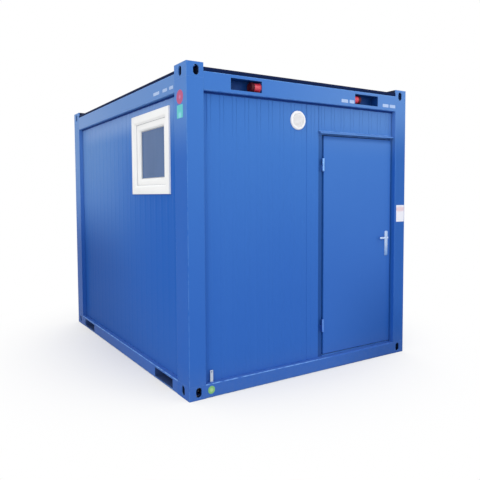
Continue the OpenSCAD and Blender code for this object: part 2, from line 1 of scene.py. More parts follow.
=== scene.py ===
"""Dresses the blue container cabin: paint, glass, fittings, fasteners, camera and light."""
import json
import math

import bmesh
import bpy
from mathutils import Matrix, Vector


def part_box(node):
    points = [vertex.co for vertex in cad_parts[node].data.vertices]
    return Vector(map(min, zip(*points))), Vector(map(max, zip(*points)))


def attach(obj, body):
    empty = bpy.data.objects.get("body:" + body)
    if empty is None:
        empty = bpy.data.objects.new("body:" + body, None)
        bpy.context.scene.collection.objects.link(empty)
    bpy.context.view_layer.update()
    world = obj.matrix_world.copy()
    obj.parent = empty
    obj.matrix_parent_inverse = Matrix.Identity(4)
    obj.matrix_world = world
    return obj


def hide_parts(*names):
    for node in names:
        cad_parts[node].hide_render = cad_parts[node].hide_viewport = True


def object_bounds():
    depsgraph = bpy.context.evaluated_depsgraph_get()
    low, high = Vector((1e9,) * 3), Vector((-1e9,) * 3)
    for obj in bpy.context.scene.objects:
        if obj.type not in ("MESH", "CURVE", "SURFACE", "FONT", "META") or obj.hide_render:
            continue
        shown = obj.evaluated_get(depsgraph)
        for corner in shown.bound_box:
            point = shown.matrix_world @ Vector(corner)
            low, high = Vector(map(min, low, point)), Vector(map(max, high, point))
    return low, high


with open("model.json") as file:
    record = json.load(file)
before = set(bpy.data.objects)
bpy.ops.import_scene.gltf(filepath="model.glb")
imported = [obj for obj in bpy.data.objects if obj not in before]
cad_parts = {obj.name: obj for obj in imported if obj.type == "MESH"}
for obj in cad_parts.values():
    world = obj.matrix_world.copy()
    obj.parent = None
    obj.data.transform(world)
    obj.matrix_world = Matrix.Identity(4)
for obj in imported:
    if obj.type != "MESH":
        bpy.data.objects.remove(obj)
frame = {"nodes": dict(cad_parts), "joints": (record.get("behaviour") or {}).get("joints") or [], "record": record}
cad_low, cad_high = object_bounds()
scene = bpy.context.scene

# Camera: place and sight in metres, turns in radians, lens and sensor in millimetres
CAMERA_PLACE = Vector((-3.0155, -4.9080, 1.5962))
CAMERA_YAW = 0.5369
CAMERA_PITCH = -0.0537
CAMERA_ROLL = -0.0077
CAMERA_LENS = 38.4230
CAMERA_SENSOR = 36.0
CAMERA_SHIFT = (0.0533, -0.0381)
CAMERA_SIGHT = 200.0

# Studio: the floor fades to white over a stretch of distance from the middle of the cabin
FLOOR_DROP = 0.0005
FLOOR_RADIUS = 40.0
FLOOR_FADE = (0.3, 3.0)
SKY_LEVEL = 0.95
CABIN_MIDDLE = Vector((0, 0, 1.2))

# Thickness of a label, and the edge angle past which shading turns sharp
LABEL_T = 0.0004
SMOOTH_ANGLE = math.radians(38)

# Directions along a wall: to the right seen from outside, and up
RIGHT_ON_FRONT = Vector((1, 0, 0))
RIGHT_ON_LEFT = Vector((0, -1, 0))
UP = Vector((0, 0, 1))

# Painted light and shade on the outer paint, and the splash of dust at its foot: each pair is where its share
# starts and where it is full, in metres
FADE_RISE = (0.5, 2.5)
BLEACH_RISE = (0.7, 2.25)
BLEACH_BACKWARD = (-1.35, 1.3)
BLEACHED_CORNER_RISE = (1.9, 2.35)
BLEACHED_CORNER_REACH = (-0.9, 0.9)
BLEACHED_LEFT_RISE = (1.85, 2.2)
CHALK_RISE = (2.13, 2.31)
CHALK_FROM_FRONT = (-1.45, -1.0)
CHALK_FROM_BACK = (1.30, 0.95)
LOW_CORNER_FALL = (1.2, 0.0)
LOW_CORNER_REACH = (0.1, 1.1)
FAR_POST_FALL = (2.5, 1.9)
FAR_POST_REACH = (1.05, 1.10)
SHELTER_FALL = (1.6, 0.8)
LEE_RISE = (0.0, 1.0)
LEE_POST = (-1.25, -1.32)
LEE_FALL = (2.25, 1.8)
LEE_FORWARD = (0.4, -1.0)
SPLASH_FALL = (0.32, 0.0)

# How far a face has to turn to count as facing the front or the left, and as lying level
TURNED = (-0.5, -0.9)
LEVEL = (0.7, 0.98)

# Wall ribs: from and to a level, and how much steeper than the mesh they look there
SIDE_RIBS = (1.10, 2.30, 0.15, 2.8)
END_RIBS = (1.95, 2.30, 0.6, 3.2)


# Node helpers

def add(tree, kind, inputs=None, **settings):
    """Adds a node; an input takes a value or another node's output."""
    node = tree.nodes.new(kind)
    for key, value in settings.items():
        setattr(node, key, value)
    for key, value in (inputs or {}).items():
        if isinstance(value, bpy.types.NodeSocket):
            tree.links.new(value, node.inputs[key])
        else:
            node.inputs[key].default_value = value
    return node


def maths(tree, operation, a, b=0.0, clamp=False):
    """The result of one sum on one or two values."""
    return add(tree, "ShaderNodeMath", {0: a, 1: b}, operation=operation, use_clamp=clamp).outputs[0]


def product(tree, first, *others):
    """Several values multiplied."""
    result = first
    for other in others:
        result = maths(tree, "MULTIPLY", result, other)
    return result


def largest(tree, first, *others):
    """The largest of several values."""
    result = first
    for other in others:
        result = maths(tree, "MAXIMUM", result, other)
    return result


def parts(tree, vector):
    """The X, Y and Z of a vector."""
    return add(tree, "ShaderNodeSeparateXYZ", {0: vector}).outputs


def joined(tree, x=0.0, y=0.0, z=0.0):
    """A vector of three values."""
    return add(tree, "ShaderNodeCombineXYZ", {0: x, 1: y, 2: z}).outputs[0]


def mixed(tree, factor, a, b):
    """A colour between two colours."""
    return add(tree, "ShaderNodeMix", {0: factor, 6: a, 7: b}, data_type="RGBA").outputs[2]


def blended(tree, factor, a, b):
    """A value between two values."""
    return add(tree, "ShaderNodeMix", {0: factor, 2: a, 3: b}).outputs[0]


def ramp(tree, value, low, high, to_low=0.0, to_high=1.0):
    """A value that runs smoothly from one level to another."""
    node = add(tree, "ShaderNodeMapRange",
               {"Value": value, "From Min": low, "From Max": high, "To Min": to_low, "To Max": to_high},
               interpolation_type="SMOOTHSTEP")
    return node.outputs["Result"]


def object_place(tree):
    """Where a point lies on the cabin, in metres."""
    return add(tree, "ShaderNodeTexCoord").outputs["Object"]


def stretched(tree, scale, place=(0, 0, 0)):
    """Object coordinates, moved to a place and scaled on each axis."""
    return add(tree, "ShaderNodeMapping",
               {"Vector": object_place(tree), "Location": place, "Scale": scale}).outputs[0]


def noise(tree, scale, detail=3.0, along=None):
    """Cloudy noise from zero to one, on object coordinates unless others are given."""
    vector = along if along is not None else object_place(tree)
    node = add(tree, "ShaderNodeTexNoise", {"Vector": vector, "Scale": scale, "Detail": detail})
    return node.outputs["Fac"]


def distance_from(tree, place):
    """How far coordinates lie from their origin."""
    return add(tree, "ShaderNodeVectorMath", {0: place}, operation="LENGTH").outputs["Value"]


def new_group(name, kind, takes, gives):
    """A node group with named inputs and outputs."""
    tree = bpy.data.node_groups.new(name, kind)
    for label, socket_type, value in takes:
        socket = tree.interface.new_socket(label, in_out="INPUT", socket_type=socket_type)
        if value is not None:
            socket.default_value = value
    for label, socket_type in gives:
        tree.interface.new_socket(label, in_out="OUTPUT", socket_type=socket_type)
    inside = tree.nodes.new("NodeGroupInput")
    outside = tree.nodes.new("NodeGroupOutput")
    return tree, inside.outputs, outside.inputs


def shader_group(name, takes, gives):
    """A group for materials."""
    return new_group(name, "ShaderNodeTree", takes, gives)


def use(tree, group, **values):
    """Places a shader group; an underscore in a keyword stands for a space."""
    inputs = {key.replace("_", " "): value for key, value in values.items()}
    return add(tree, "ShaderNodeGroup", inputs, node_tree=group).outputs


def colour(r, g, b):
    """An opaque colour in linear light."""
    return (r, g, b, 1.0)


FLOAT, COLOUR, VECTOR = "NodeSocketFloat", "NodeSocketColor", "NodeSocketVector"
SURFACE_OUTPUTS = [("Colour", COLOUR), ("Roughness", FLOAT), ("Height", FLOAT)]


# Shared surface effects

def bleached_share(tree, place, on_front, on_left, toward_back):
    """How much painted sky sheen the paint takes: toward the back, at the far top corner and at the left top."""
    sunny_back = product(tree, ramp(tree, place["Z"], *BLEACH_RISE), toward_back)
    far_corner = product(tree, ramp(tree, place["Z"], *BLEACHED_CORNER_RISE, 0.0, 0.6),
                         ramp(tree, place["X"], *BLEACHED_CORNER_REACH), on_front)
    left_top = product(tree, ramp(tree, place["Z"], *BLEACHED_LEFT_RISE, 0.0, 0.5), on_left)
    return largest(tree, sunny_back, far_corner, left_top)


def chalked_share(tree, place, on_left, chalk):
    """How much painted light lifts the paint in the strip under the left roof beam, where the beam's shadow falls.
    """
    return product(tree, ramp(tree, place["Z"], *CHALK_RISE, 0.0, 0.92),
                   ramp(tree, place["Y"], *CHALK_FROM_FRONT),
                   ramp(tree, place["Y"], *CHALK_FROM_BACK, 0.3, 1.0), on_left, chalk)


def sheltered_share(tree, place, on_front, toward_back):
    """How much painted shade darkens the paint: low at the back, at the low right corner and down the far post."""
    low_corner = product(tree, ramp(tree, place["Z"], *LOW_CORNER_FALL, 0.0, 0.8),
                         ramp(tree, place["X"], *LOW_CORNER_REACH))
    far_post = product(tree, ramp(tree, place["Z"], *FAR_POST_FALL, 0.0, 0.45),
                       ramp(tree, place["X"], *FAR_POST_REACH))
    shaded = product(tree, largest(tree, low_corner, far_post), on_front)
    low_back = product(tree, ramp(tree, place["Z"], *SHELTER_FALL, 0.0, 0.75), toward_back)
    return largest(tree, low_back, shaded)


def lee_share(tree, place, on_left):
    """How much painted shade deepens the paint on the front part of the left side."""
    above_foot = largest(tree, ramp(tree, place["Z"], *LEE_RISE), ramp(tree, place["Y"], *LEE_POST))
    return product(tree, above_foot, ramp(tree, place["Z"], *LEE_FALL, 0.0, 0.65), on_left,
                   ramp(tree, place["Y"], *LEE_FORWARD))


def make_paint_coat():
    """Rolled-on paint with random clouds and streaks, dusty low down; paler toward the top, the back, the far top
    corner and the left top as painted sky sheen, lighter under the left roof beam as painted light, and darker low
    at the back, at the low right corner, down the far post and on the front of the left side as painted shade.
    """
    tree, given, out = shader_group(
        "paint_coat",
        [("Paint", COLOUR, colour(0.01, 0.09, 0.4)), ("Faded", COLOUR, colour(0.04, 0.15, 0.5)),
         ("Bleached", COLOUR, colour(0.11, 0.25, 0.6)), ("Sheltered", COLOUR, colour(0.01, 0.08, 0.33)),
         ("Rich", COLOUR, colour(0.014, 0.115, 0.5)), ("Dust", COLOUR, colour(0.3, 0.3, 0.28)),
         ("Chalked", COLOUR, colour(0.21, 0.36, 0.7)), ("Chalk", FLOAT, 0.0),
         ("Fade", FLOAT, 1.0), ("Dust level", FLOAT, 0.3), ("Gloss", FLOAT, 0.3)],
        SURFACE_OUTPUTS)
    cloud_depth, streak_depth = 0.35, 0.07
    cloud_dullness, dust_dullness = 0.08, 0.4
    sag = 2.5
    place = parts(tree, object_place(tree))
    facing = parts(tree, add(tree, "ShaderNodeNewGeometry").outputs["Normal"])
    on_front = product(tree, ramp(tree, facing["Y"], *TURNED), given["Fade"])
    on_left = product(tree, ramp(tree, facing["X"], *TURNED), given["Fade"])
    # How much the back masks count on each face, for the painted sheen and shade toward the back
    weathered = product(tree, ramp(tree, facing["X"], *TURNED, 0.45, 1.0), given["Fade"])
    toward_back = product(tree, ramp(tree, place["Y"], *BLEACH_BACKWARD), weathered)

    cloud = noise(tree, 0.9, 4.0)
    streak = ramp(tree, noise(tree, 1.0, 3.0, stretched(tree, (24, 24, 0.45))), 0.5, 0.78)
    drift = product(tree, maths(tree, "SUBTRACT", cloud, 0.5), cloud_depth)
    # Toward the top the paint turns to its paler top tone: a painted sky sheen; the clouds and streaks add random
    # tone
    climb = maths(tree, "ADD", ramp(tree, place["Z"], *FADE_RISE), drift)
    fade = maths(tree, "MULTIPLY", climb, given["Fade"], clamp=True)
    fade = maths(tree, "ADD", fade, product(tree, streak, streak_depth), clamp=True)

    painted = mixed(tree, fade, given["Paint"], given["Faded"])
    # Painted sky sheen toward the back, at the far top corner and at the left top
    sunny = bleached_share(tree, place, on_front, on_left, toward_back)
    painted = mixed(tree, sunny, painted, given["Bleached"])
    # Painted light in the strip under the left roof beam, where the beam's shadow falls
    painted = mixed(tree, chalked_share(tree, place, on_left, given["Chalk"]), painted, given["Chalked"])
    # Painted shade low at the back, at the low right corner and down the far post
    painted = mixed(tree, sheltered_share(tree, place, on_front, toward_back), painted, given["Sheltered"])
    # Painted shade on the front part of the left side, below the sheen
    painted = mixed(tree, lee_share(tree, place, on_left), painted, given["Rich"])

    splash = product(tree, ramp(tree, place["Z"], *SPLASH_FALL), noise(tree, 26.0, 6.0))
    settled = product(tree, ramp(tree, facing["Z"], *LEVEL), noise(tree, 14.0, 5.0))
    dust = maths(tree, "MULTIPLY", largest(tree, splash, settled), given["Dust level"], clamp=True)
    rough = maths(tree, "ADD", given["Gloss"], product(tree, cloud, cloud_dullness))
    rough = maths(tree, "ADD", rough, product(tree, dust, dust_dullness), clamp=True)
    peel = maths(tree, "ADD", noise(tree, 320.0, 2.0), product(tree, noise(tree, 3.5, 2.0), sag))
    tree.links.new(mixed(tree, dust, painted, given["Dust"]), out["Colour"])
    tree.links.new(rough, out["Roughness"])
    tree.links.new(peel, out["Height"])
    return tree


def make_edge_rub():
    """Rounded shading at sharp edges, and a patchy mask of edges for wear and, on paint, for a painted highlight.
    """
    tree, given, out = shader_group(
        "edge_rub", [("Radius", FLOAT, 0.004), ("Amount", FLOAT, 0.5)],
        [("Mask", FLOAT), ("Normal", VECTOR)])
    upright_share = 0.6
    rounded = add(tree, "ShaderNodeBevel", {"Radius": given["Radius"]}, samples=4).outputs["Normal"]
    turn = parts(tree, rounded)
    turn_x, turn_y, turn_z = [maths(tree, "ABSOLUTE", turn[axis]) for axis in "XYZ"]
    upright_edge = product(tree, turn_x, turn_y, upright_share)
    level_edge = product(tree, largest(tree, turn_x, turn_y), turn_z)
    edge = ramp(tree, largest(tree, upright_edge, level_edge), 0.12, 0.42)
    patchy = ramp(tree, noise(tree, 18.0, 5.0), 0.30, 0.60)
    mask = maths(tree, "MULTIPLY", product(tree, edge, patchy), given["Amount"], clamp=True)
    tree.links.new(mask, out["Mask"])
    tree.links.new(rounded, out["Normal"])
    return tree


def make_rib_shading():
    """Shading that sharpens the wall ribs under the roof and flattens them toward the foot."""
    tree, given, out = shader_group(
        "rib_shading", [("Normal", VECTOR, (0.0, 0.0, 1.0)), ("Side wall", FLOAT, 1.1)], [("Normal", VECTOR)])
    place = parts(tree, object_place(tree))
    on_side = maths(tree, "GREATER_THAN", maths(tree, "ABSOLUTE", place["X"]), given["Side wall"])
    scale_x = blended(tree, on_side, ramp(tree, place["Z"], *END_RIBS), 1.0)
    scale_y = blended(tree, on_side, 1.0, ramp(tree, place["Z"], *SIDE_RIBS))
    scales = joined(tree, scale_x, scale_y, 1.0)
    sloped = add(tree, "ShaderNodeVectorMath", {0: given["Normal"], 1: scales}, operation="MULTIPLY")
    unit = add(tree, "ShaderNodeVectorMath", {0: sloped.outputs[0]}, operation="NORMALIZE")
    tree.links.new(unit.outputs[0], out["Normal"])
    return tree


def make_corner_grime():
    """A mask of the corners and grooves that ambient occlusion finds, for painted shade."""
    tree, given, out = shader_group(
        "corner_grime", [("Reach", FLOAT, 0.03), ("Amount", FLOAT, 0.5)], [("Mask", FLOAT)])
    open_sky = add(tree, "ShaderNodeAmbientOcclusion", {"Distance": given["Reach"]}, samples=6).outputs["AO"]
    shut = ramp(tree, maths(tree, "SUBTRACT", 1.0, open_sky), 0.25, 0.9)
    patchy = ramp(tree, noise(tree, 9.0, 4.0), 0.2, 0.7, 0.5, 1.0)
    mask = maths(tree, "MULTIPLY", product(tree, shut, patchy), given["Amount"], clamp=True)
    tree.links.new(mask, out["Mask"])
    return tree


def make_room_side():
    """A mask of what lies inside half sizes and between two levels, such as the faces that line the room."""
    tree, given, out = shader_group(
        "room_side",
        [("Half width", FLOAT, 1.1), ("Half length", FLOAT, 1.4), ("Foot", FLOAT, 0.1), ("Top", FLOAT, 2.5)],
        [("Mask", FLOAT)])
    place = parts(tree, object_place(tree))
    inside_x = maths(tree, "LESS_THAN", maths(tree, "ABSOLUTE", place["X"]), given["Half width"])
    inside_y = maths(tree, "LESS_THAN", maths(tree, "ABSOLUTE", place["Y"]), given["Half length"])
    above_foot = maths(tree, "GREATER_THAN", place["Z"], given["Foot"])
    below_top = maths(tree, "LESS_THAN", place["Z"], given["Top"])
    tree.links.new(product(tree, inside_x, inside_y, above_foot, below_top), out["Mask"])
    return tree


def make_zinc_spangle():
    """The leafy crystals of hot-dip zinc, with a dull bloom."""
    tree, given, out = shader_group(
        "zinc_spangle",
        [("Zinc", COLOUR, colour(0.55, 0.57, 0.58)), ("Bloom", COLOUR, colour(0.72, 0.73, 0.72)),
         ("Crystal size", FLOAT, 90.0)],
        SURFACE_OUTPUTS)
    waviness, crystal_share, bloom_share = 0.02, 0.5, 0.4
    place = object_place(tree)
    wavy = add(tree, "ShaderNodeTexNoise", {"Vector": place, "Scale": 30.0}).outputs["Color"]
    bent = add(tree, "ShaderNodeMix", {0: waviness, 4: place, 5: wavy}, data_type="VECTOR").outputs[1]
    cells = add(tree, "ShaderNodeTexVoronoi", {"Vector": bent, "Scale": given["Crystal size"]})
    tone = parts(tree, cells.outputs["Color"])["X"]
    bloom = ramp(tree, noise(tree, 5.0, 5.0), 0.42, 0.72)
    share = maths(tree, "ADD", product(tree, tone, crystal_share), product(tree, bloom, bloom_share),
                  clamp=True)
    tree.links.new(mixed(tree, share, given["Zinc"], given["Bloom"]), out["Colour"])
    tree.links.new(ramp(tree, share, 0.0, 1.0, 0.28, 0.55), out["Roughness"])
    tree.links.new(tone, out["Height"])
    return tree


def make_fine_grain():
    """Slight tone drift, dull patches and a fine moulded grain for plastics and rubber."""
    tree, given, out = shader_group(
        "fine_grain",
        [("Tone", COLOUR, colour(0.8, 0.8, 0.8)), ("Worn", COLOUR, colour(0.7, 0.7, 0.68)),
         ("Drift", FLOAT, 0.3), ("Grain size", FLOAT, 400.0), ("Gloss", FLOAT, 0.35)],
        SURFACE_OUTPUTS)
    patch_dullness = 0.12
    patch = ramp(tree, noise(tree, 7.0, 5.0), 0.35, 0.75)
    share = maths(tree, "MULTIPLY", patch, given["Drift"], clamp=True)
    rough = maths(tree, "ADD", given["Gloss"], product(tree, patch, patch_dullness))
    tree.links.new(mixed(tree, share, given["Tone"], given["Worn"]), out["Colour"])
    tree.links.new(rough, out["Roughness"])
    tree.links.new(noise(tree, given["Grain size"], 2.0), out["Height"])
    return tree


PAINT_COAT = make_paint_coat()
EDGE_RUB = make_edge_rub()
RIB_SHADING = make_rib_shading()
CORNER_GRIME = make_corner_grime()
ROOM_SIDE = make_room_side()
ZINC_SPANGLE = make_zinc_spangle()
FINE_GRAIN = make_fine_grain()


# Materials

LINING = colour(0.72, 0.73, 0.71)
LINING_WORN = colour(0.62, 0.62, 0.59)
PAINT = colour(0.034, 0.136, 0.505)
# Paler top tone of the paint: a painted sky sheen
PAINT_FADED = colour(0.054, 0.186, 0.567)
# Palest tone of the paint: a painted reflection of the sky
PAINT_BLEACHED = colour(0.135, 0.285, 0.625)
# Light tone for the strip under the left roof beam: painted light
PAINT_CHALKED = colour(0.215, 0.360, 0.700)
# Darker tone of the paint for painted shade
PAINT_DEEP = colour(0.010, 0.075, 0.330)
# Deeper tone of the paint for the painted shade on the left side
PAINT_RICH = colour(0.014, 0.115, 0.500)
# Dark tone for the socket recesses: painted shade
PAINT_RECESS = colour(0.007, 0.055, 0.250)
PAINT_SHADE = colour(0.008, 0.050, 0.220)
# Paler paint on edges: wear and a painted highlight
PAINT_RUBBED = colour(0.20, 0.40, 0.78)
# Darker paint in corners and grooves: painted shade
PAINT_GRIME = colour(0.006, 0.045, 0.210)
ROAD_DUST = colour(0.26, 0.27, 0.27)
NAVY = colour(0.002, 0.011, 0.058)
ZINC = colour(0.50, 0.52, 0.53)
ZINC_BLOOM = colour(0.66, 0.67, 0.66)
ZINC_BARE = colour(0.8, 0.8, 0.79)
STEEL_BARE = colour(0.85, 0.85, 0.84)

# The room that has a lining, the door leaf, and the level below which the lock plates darken as painted shade
MASK_ROOM = 0.0006
PAST_THE_WALLS = 2.0
LEAF_GAP = 0.002
PLATE_DULL_RISE = 0.06
room_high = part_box("ceiling_panel")[1]
leaf_low, leaf_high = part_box("door_leaf")
leaf_middle = (leaf_low.z + leaf_high.z) / 2
plate_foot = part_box("lock_plates")[0].z + PLATE_DULL_RISE
room_foot = leaf_low.z - LEAF_GAP
room_half = (room_high.x + MASK_ROOM, room_high.y + MASK_ROOM)
leaf_half = (PAST_THE_WALLS, -leaf_high.y + MASK_ROOM)
roof_half = tuple(c - MASK_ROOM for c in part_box("roof_sheet")[1][:2])


def new_material(name):
    """A material with one surface, still without its finish."""
    material = bpy.data.materials.new(name)
    material.use_nodes = True
    tree = material.node_tree
    tree.nodes.clear()
    surface = tree.nodes.new("ShaderNodeBsdfPrincipled")
    tree.links.new(surface.outputs[0], add(tree, "ShaderNodeOutputMaterial").inputs["Surface"])
    return material, tree, surface


def feed(tree, surface, tone, rough, height, depth, normal=None):
    """Gives a surface its colour, roughness and relief."""
    bump = {"Height": height, "Distance": depth, "Strength": 0.5}
    if normal is not None:
        bump["Normal"] = normal
    tree.links.new(tone, surface.inputs["Base Color"])
    tree.links.new(rough, surface.inputs["Roughness"])
    tree.links.new(add(tree, "ShaderNodeBump", bump).outputs[0], surface.inputs["Normal"])


def paint_material(name, tone=PAINT, faded=PAINT_FADED, gloss=0.30, dust_level=0.16, rubbed=0.45,
                   lined=None, shine=0.12, fade=1.0, ribbed=False, chalk=0.0, grime_reach=0.012, grimed=0.3,
                   rubbed_until=None, dark_top=None):
    """Blue paint on steel; where lined gives half sizes, faces inside them have the white lining.

    Edges get wear and a painted highlight as far to the right as rubbed_until, corners take painted shade, and
    toward the level dark_top the paint darkens as a painted shadow.
    """
    material, tree, surface = new_material(name)
    before_end, past_end = 0.05, 0.1
    clean_rise, soiled_rise = 0.1, 0.3
    top_depth, top_share = 0.05, 0.7
    place = parts(tree, object_place(tree))
    # Past rubbed_until the painted highlight and wear on the edges die out
    if rubbed_until is not None:
        rubbed = ramp(tree, place["X"], rubbed_until - before_end, rubbed_until + past_end, rubbed, 0.0)
    coat = use(tree, PAINT_COAT, Paint=tone, Faded=faded, Bleached=PAINT_BLEACHED, Sheltered=PAINT_DEEP,
               Rich=PAINT_RICH, Chalked=PAINT_CHALKED, Chalk=chalk, Dust=ROAD_DUST, Fade=fade,
               Dust_level=dust_level, Gloss=gloss)
    rub = use(tree, EDGE_RUB, Radius=0.004, Amount=rubbed)
    # Corners and grooves darken: painted shade from ambient occlusion
    soiled = use(tree, CORNER_GRIME, Reach=grime_reach, Amount=grimed)["Mask"]
    normal = use(tree, RIB_SHADING, Normal=rub["Normal"])["Normal"] if ribbed else rub["Normal"]
    # Edges turn paler: wear and a painted highlight
    painted = mixed(tree, rub["Mask"], coat["Colour"], PAINT_RUBBED)
    rough = coat["Roughness"]
    # Toward dark_top the leaf darkens as a painted shadow under the rain rail, and its painted corner shade is
    # kept off its foot
    if dark_top is not None:
        off_foot = ramp(tree, place["Z"], room_foot + clean_rise, room_foot + soiled_rise)
        soiled = product(tree, soiled, off_foot)
        under_top = ramp(tree, place["Z"], dark_top - top_depth, dark_top, 0.0, top_share)
        painted = mixed(tree, under_top, painted, PAINT_DEEP)
    # The painted corner shade is mixed in
    painted = mixed(tree, soiled, painted, PAINT_GRIME)
    if lined:
        room = use(tree, ROOM_SIDE, Half_width=lined[0], Half_length=lined[1], Foot=room_foot,
                   Top=room_high.z)
        board = use(tree, FINE_GRAIN, Tone=LINING, Worn=LINING_WORN, Drift=0.35, Gloss=0.45)
        painted = mixed(tree, room["Mask"], painted, board["Colour"])
        rough = blended(tree, room["Mask"], rough, board["Roughness"])
    feed(tree, surface, painted, rough, coat["Height"], 0.0002, normal)
    surface.inputs["Specular IOR Level"].default_value = shine
    return material


def dulled(tree, shown, dull):
    """Turns a tone darker below a level, as painted shade; dull holds the level, how soft the turn is, and the
    darker tone.
    """
    level, softness, tone = dull
    height = parts(tree, object_place(tree))["Z"]
    return mixed(tree, ramp(tree, height, level + softness, level - softness), shown, tone)


def metal_material(name, tone, bloom, crystal_size, relief, dull=None):
    """Zinc plated steel; dull is the darker tone its low parts turn to, as painted shade."""
    material, tree, surface = new_material(name)
    zinc = use(tree, ZINC_SPANGLE, Zinc=tone, Bloom=bloom, Crystal_size=crystal_size)
    rub = use(tree, EDGE_RUB, Radius=0.0015, Amount=0.6)
    shown, bare = zinc["Colour"], ZINC_BARE
    # Below a level the zinc darkens: painted shade
    if dull:
        shown, bare = dulled(tree, shown, dull), bloom
    shown = mixed(tree, rub["Mask"], shown, bare)
    feed(tree, surface, shown, zinc["Roughness"], zinc["Height"], relief, rub["Normal"])
    surface.inputs["Metallic"].default_value = 0.85
    return material


def brushed_material(name, tone, worn, along, gloss, dull=None):
    """Brushed metal; along stretches the brush marks on each axis, and dull is the darker tone its low parts turn
    to, as painted shade.
    """
    material, tree, surface = new_material(name)
    mark_share, mark_dullness = 0.5, 0.14
    marks = noise(tree, 1.0, 4.0, stretched(tree, along))
    rub = use(tree, EDGE_RUB, Radius=0.0012, Amount=0.5)
    shown = mixed(tree, product(tree, marks, mark_share), tone, worn)
    # Below a level the metal darkens: painted shade
    if dull:
        shown = dulled(tree, shown, dull)
    shown = mixed(tree, rub["Mask"], shown, STEEL_BARE)
    rough = ramp(tree, marks, 0.2, 0.8, gloss, gloss + mark_dullness)
    feed(tree, surface, shown, rough, marks, 0.0001, rub["Normal"])
    surface.inputs["Metallic"].default_value = 1.0
    return material


def plastic_material(name, tone, worn, drift, gloss, shine=0.5, grain=420.0, relief=0.00006):
    """Moulded plastic or rubber that drifts toward a worn tone, and takes that tone in its corners as painted
    shade.
    """
    material, tree, surface = new_material(name)
    grain_out = use(tree, FINE_GRAIN, Tone=tone, Worn=worn, Drift=drift, Grain_size=grain, Gloss=gloss)
    rub = use(tree, EDGE_RUB, Radius=0.002, Amount=0.15)
    # Painted shade: the corners take the worn tone
    grime = use(tree, CORNER_GRIME, Reach=0.02, Amount=0.35)
    shown = mixed(tree, grime["Mask"], grain_out["Colour"], worn)
    feed(tree, surface, shown, grain_out["Roughness"], grain_out["Height"], relief, rub["Normal"])
    surface.inputs["Specular IOR Level"].default_value = shine
    return material


def glass_material():
    """Lightly frosted pane with a grey-blue tint."""
    material, tree, surface = new_material("frosted_pane")
    ripple = noise(tree, 60.0, 3.0)
    streak = ramp(tree, noise(tree, 1.0, 4.0, stretched(tree, (6, 6, 1.2))), 0.3, 0.75)
    tone = mixed(tree, streak, colour(0.065, 0.195, 0.490), colour(0.095, 0.235, 0.550))
    feed(tree, surface, tone, ramp(tree, ripple, 0.25, 0.75, 0.10, 0.24), ripple, 0.0003)
    surface.inputs["Transmission Weight"].default_value = 0.5
    surface.inputs["IOR"].default_value = 1.35
    return material


def vinyl_material():
    """Grey sheet flooring with small flecks."""
    material, tree, surface = new_material("vinyl_floor")
    worn_share = 0.3
    flecks = add(tree, "ShaderNodeTexVoronoi", {"Vector": object_place(tree), "Scale": 220.0})
    dots = ramp(tree, flecks.outputs["Distance"], 0.32, 0.18)
    worn = ramp(tree, noise(tree, 2.2, 5.0), 0.35, 0.75)
    tone = mixed(tree, dots, colour(0.24, 0.25, 0.26), colour(0.40, 0.41, 0.41))
    tone = mixed(tree, product(tree, worn, worn_share), tone, colour(0.17, 0.17, 0.165))
    feed(tree, surface, tone, ramp(tree, worn, 0.0, 1.0, 0.42, 0.6), noise(tree, 500.0, 2.0), 0.0002)
    return material


def mix_pale(tone, share):
    """A colour taken some way toward white."""
    return tuple(c + (1.0 - c) * share for c in tone[:3]) + (1.0,)


def sticker_material(name, tone, inner, centre, reach, softness=0.006, spread=1.0):
    """A vinyl sticker whose tone turns to another near a place; spread widens the patch sideways."""
    material, tree, surface = new_material(name)
    scale = (1 / spread, 1 / spread, 1)
    from_centre = stretched(tree, scale, tuple(-c * k for c, k in zip(centre, scale)))
    middle = ramp(tree, distance_from(tree, from_centre), reach + softness, reach - softness)
    film = use(tree, FINE_GRAIN, Tone=tone, Worn=mix_pale(tone, 0.12), Drift=0.6, Grain_size=700.0, Gloss=0.3)
    shown = mixed(tree, middle, film["Colour"], inner)
    feed(tree, surface, shown, film["Roughness"], film["Height"], 0.00005)
    return material


def roof_material():
    """Zinc sheet with a dark navy rim outside the roof's half sizes, partly roof flashing and partly a painted
    shadow of the edge gap.
    """
    material, tree, surface = new_material("zinc_roof")
    zinc_share, dirt_dullness = 0.8, 0.4
    zinc = use(tree, ZINC_SPANGLE, Zinc=ZINC, Bloom=ZINC_BLOOM, Crystal_size=70.0)
    dirt = ramp(tree, noise(tree, 2.4, 5.0), 0.45, 0.8, 0.0, 0.35)
    middle = use(tree, ROOM_SIDE, Half_width=roof_half[0], Half_length=roof_half[1], Top=cad_high.z)["Mask"]
    shown = mixed(tree, dirt, zinc["Colour"], colour(0.22, 0.22, 0.20))
    shown = mixed(tree, middle, NAVY, shown)
    rough = maths(tree, "ADD", zinc["Roughness"], product(tree, dirt, dirt_dullness), clamp=True)
    feed(tree, surface, shown, rough, zinc["Height"], 0.0002)
    tree.links.new(product(tree, middle, zinc_share), surface.inputs["Metallic"])
    surface.inputs["Specular IOR Level"].default_value = 0.06
    return material


frame_paint = paint_material("frame_paint", lined=room_half, shine=0.04)
# The walls take the painted light under the left roof beam and only a slight painted corner shade
wall_paint = paint_material("wall_paint", gloss=0.40, dust_level=0.10, rubbed=0.0, lined=room_half,
                            shine=0.02, ribbed=True, chalk=1.0, grimed=0.12)
# The sill's edges carry a strong painted highlight along the ledge, with wear, dying out past the door's hinge
# side
sill_paint = paint_material("sill_paint", rubbed=0.9, lined=room_half, shine=0.04, rubbed_until=leaf_low.x)
